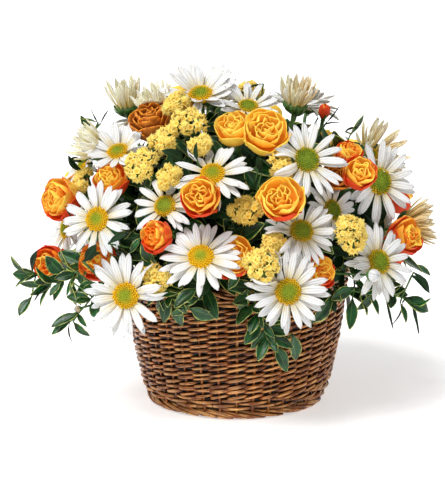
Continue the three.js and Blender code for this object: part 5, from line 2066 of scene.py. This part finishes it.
@dataclass
class SingleLeaves:
    """The single leaves, each on a short stalk from the nearest sprig or from between the flowers."""

    stems: Points
    nearby: float = 32.0
    stalk: float = 0.7
    plain_depth: float = 0.45
    seed: int = 6000

    def build(self) -> None:
        """Makes them as one piece."""
        sheaf, rng = Sheaf("single_leaves"), np.random.default_rng(self.seed)
        for leaf in SINGLE_LEAVES:
            root, tip = np.array(leaf.root, dtype=float), np.array(leaf.tip, dtype=float)
            apart = np.linalg.norm(self.stems - root, axis=1)
            start = self.stems[apart.argmin()] if apart.min() < self.nearby else HEART + 0.55 * (root - HEART)
            path = np.array([start, 0.5 * (start + root), root])
            sheaf.add_rod(path, np.full(3, self.stalk), TWIG_SIDES, Finishes.GREEN, 0.5)
            along = unit(tip - root)
            normal = unit(root - HEART - along * ((root - HEART) @ along))
            length = np.array([np.linalg.norm(tip - root)])
            grid = leaf_grids(root[None], along[None], normal[None], length, rng, leaf.breadth)
            # A plain single leaf gets a fixed painted shade, plain_depth.
            finish, shade = (Finishes.LEAF, 0.0) if leaf.pale else (Finishes.PLAIN_LEAF, self.plain_depth)
            sheaf.add_sheets(grid, LEAF_THICKNESS, finish, rng.random(1), np.full(1, shade))
        sheaf.piece("foliage")


@dataclass(frozen=True)
class SmallBuds:
    """Small round buds on stalks of their own, each with its place, its radius, and how tan it is."""

    buds: tuple[tuple[Place, float, float], ...] = (
        ((107, -122, 133), 4.6, 0.0),
        ((101, -74, 160), 5.4, 1.0),
        ((-127, -106, 102), 2.4, 1.0),
    )
    petals: int = 9
    stalk: float = 0.9
    seed: int = 7000

    def build_bud(self, head: Head, tan: float) -> None:
        """Adds a bud: folded petals round a ball, in a green cup.

        Args:
            head: its place, and what takes its meshes.
            tan: how tan it is.
        """
        radius, rng, tall = head.bloom.span, head.rng, 1.1
        arc = np.radians(np.linspace(-80.0, 84.0, 9))
        profile = poled(radius * np.column_stack([np.cos(arc), tall * np.sin(arc)]))
        head.add_turned(profile, 14, Finishes.DAISY_PETAL, 0.5, np.full(len(profile), tan))
        across = np.linspace(-0.38, 0.38, 5)[None]
        rise = arc[:, None] * 0.98 + 0 * across
        for k in range(self.petals):
            turn = math.tau * (k + 0.4 * rng.random()) / self.petals
            swell = radius * (1.04 + 0.05 * rng.random())
            narrow = turn + across * (1.0 + 0.6 * np.sin(rise))
            flat = np.cos(rise) * swell
            grid = np.stack([flat * np.cos(narrow), flat * np.sin(narrow), tall * swell * np.sin(rise)], -1)
            shade = np.full(1, max(tan, 0.15))
            placed = head.place(grid)[None]
            head.sheaf.add_sheets(placed, BUD_PETAL_THICKNESS, Finishes.DAISY_PETAL, rng.random(1), shade)
        cup = np.array([[0.0, -1.5], [0.3, -1.5], [0.7, -1.15], [1.1, -0.55], [1.14, -0.2], [0.0, -0.1]])
        head.add_turned(radius * cup, 12, Finishes.GREEN, 0.3)

    def build(self) -> None:
        """Makes them as one piece."""
        sheaf, rng = Sheaf("small_buds"), np.random.default_rng(self.seed)
        for place, radius, tan in self.buds:
            at = np.array(place, dtype=float)
            out = unit(at - HEART)
            around_front, up = math.degrees(math.atan2(out[0], -out[1])), math.degrees(math.asin(out[2]))
            self.build_bud(Head(Bloom(*place, around_front, up, radius), 0.0, sheaf, rng), tan)
            foot = at - 1.4 * radius * out
            stalk = np.array([HEART + 0.6 * (foot - HEART), HEART + 0.8 * (foot - HEART), foot])
            sheaf.add_rod(stalk, np.full(3, self.stalk), STALK_SIDES, Finishes.GREEN, 0.4)
        sheaf.piece("foliage")


@dataclass(frozen=True)
class Planting:
    """All flowers and sprigs, in the order that the part's source grows them."""

    kinds: tuple[tuple[type[Head], dict[str, tuple[Bloom, ...]]], ...] = (
        (RoseHead, ROSES),
        (StaticeHead, STATICE),
        (DaisyHead, DAISIES),
    )

    def build(self) -> None:
        """Makes every plant on its own stem, and the foliage that fills the dome."""
        flowers = [(name, blooms, kind) for kind, table in self.kinds for name, blooms in table.items()]
        crowd = Crowd([(kind, bloom) for _, blooms, kind in flowers for bloom in blooms])
        aims = [sum((Vector(b.at) for b in blooms), Vector((0, 0, 0))) / len(blooms) for _, blooms, _ in flowers]
        aims += [Vector(course.path[0]) for course in SPRIGS.values()]
        directions = [np.array(d) for d in stem_directions(aims)]
        for number, (name, blooms, kind) in enumerate(flowers):
            Spray(name, blooms, kind, number, directions[number], crowd).build()
        numbered = enumerate(SPRIGS.items(), len(flowers))
        sprigs = [Sprig(name, course, number, directions[number], crowd) for number, (name, course) in numbered]
        for sprig in sprigs:
            sprig.build()
        Filler(crowd).build()
        SingleLeaves(np.concatenate([sprig.curve for sprig in sprigs])).build()
        SmallBuds().build()


# ---- Studio


@dataclass(frozen=True)
class Lamp:
    """A distant soft light.

    around is degrees from the front to the right, up degrees above level, and spread its width in degrees.
    """

    name: str
    energy: float
    around: float
    up: float
    spread: float

    def build(self) -> None:
        """Hangs the lamp, turned to the arrangement."""
        lamp = bpy.data.lights.new(self.name, "SUN")
        lamp.energy, lamp.angle = self.energy, math.radians(self.spread)
        holder = bpy.data.objects.new(self.name, lamp)
        a, e = math.radians(self.around), math.radians(self.up)
        source = Vector((math.sin(a) * math.cos(e), -math.cos(a) * math.cos(e), math.sin(e)))
        holder.rotation_euler = source.to_track_quat("Z", "Y").to_euler()
        bpy.context.scene.collection.objects.link(holder)


@dataclass(frozen=True)
class Studio:
    """The plain pale floor, the soft light and the camera."""

    target_mm: Place = (-11.5, -4.6, 128.4)
    distance_mm: float = 1500.0
    elevation: float = 12.0
    lens: float = 127.0
    sensor: float = 36.0
    sight: float = 200.0
    floor_size: float = 60.0
    floor_drop: float = 0.0002
    floor_glow: float = 0.66
    room_light: float = 0.31
    lamps: tuple[Lamp, ...] = (Lamp("key", 3.2, -41, 57, 32), Lamp("fill", 0.06, 40, 20, 60))

    def build_floor(self) -> None:
        """Lays a wide plain floor, just under the basket."""
        bpy.ops.mesh.primitive_plane_add(size=self.floor_size, location=(0.0, 0.0, -self.floor_drop))
        floor = bpy.context.object
        floor.name = "floor"
        made = bpy.data.materials.new("pale_floor")
        made.use_nodes = True
        board = Board(made.node_tree)
        colour = board.blend(board.noise(board.place, 0.4), srgb(232, 232, 232), srgb(236, 236, 236))
        board.close(Base_Color=colour, Roughness=0.9, Emission_Color=colour, Emission_Strength=self.floor_glow)
        floor.data.materials.append(made)

    def build_light(self) -> None:
        """Hangs a broad key at the upper left and a weak fill at the right, in a bright room."""
        for lamp in self.lamps:
            lamp.build()
        world = bpy.context.scene.world or bpy.data.worlds.new("room")
        bpy.context.scene.world = world
        world.use_nodes = True
        sky = world.node_tree.nodes["Background"].inputs
        sky["Color"].default_value = (1.0, 1.0, 1.0, 1.0)
        sky["Strength"].default_value = self.room_light

    def build_camera(self) -> None:
        """Sets the camera at the photograph's angle."""
        lens = bpy.data.cameras.new("camera")
        lens.lens, lens.sensor_width, lens.clip_end = self.lens, self.sensor, self.sight
        camera = bpy.data.objects.new("camera", lens)
        e = math.radians(self.elevation)
        back = Vector((0.0, -math.cos(e), math.sin(e)))
        camera.location = Vector(self.target_mm) * METRES_PER_MM + back * self.distance_mm * METRES_PER_MM
        camera.rotation_euler = back.to_track_quat("Z", "Y").to_euler()
        bpy.context.scene.collection.objects.link(camera)
        bpy.context.scene.camera = camera

    def build(self) -> None:
        """Sets up the studio."""
        self.build_camera()
        self.build_floor()
        self.build_light()
        bpy.context.scene.view_settings.view_transform = "Standard"


def main() -> None:
    """Builds the studio, the basket and the plants."""
    logging.basicConfig(level=logging.INFO, format="%(name)s %(message)s")
    Studio().build()
    Basket().build()
    WaterHolder().build()
    Planting().build()


if __name__ == "__main__":
    main()
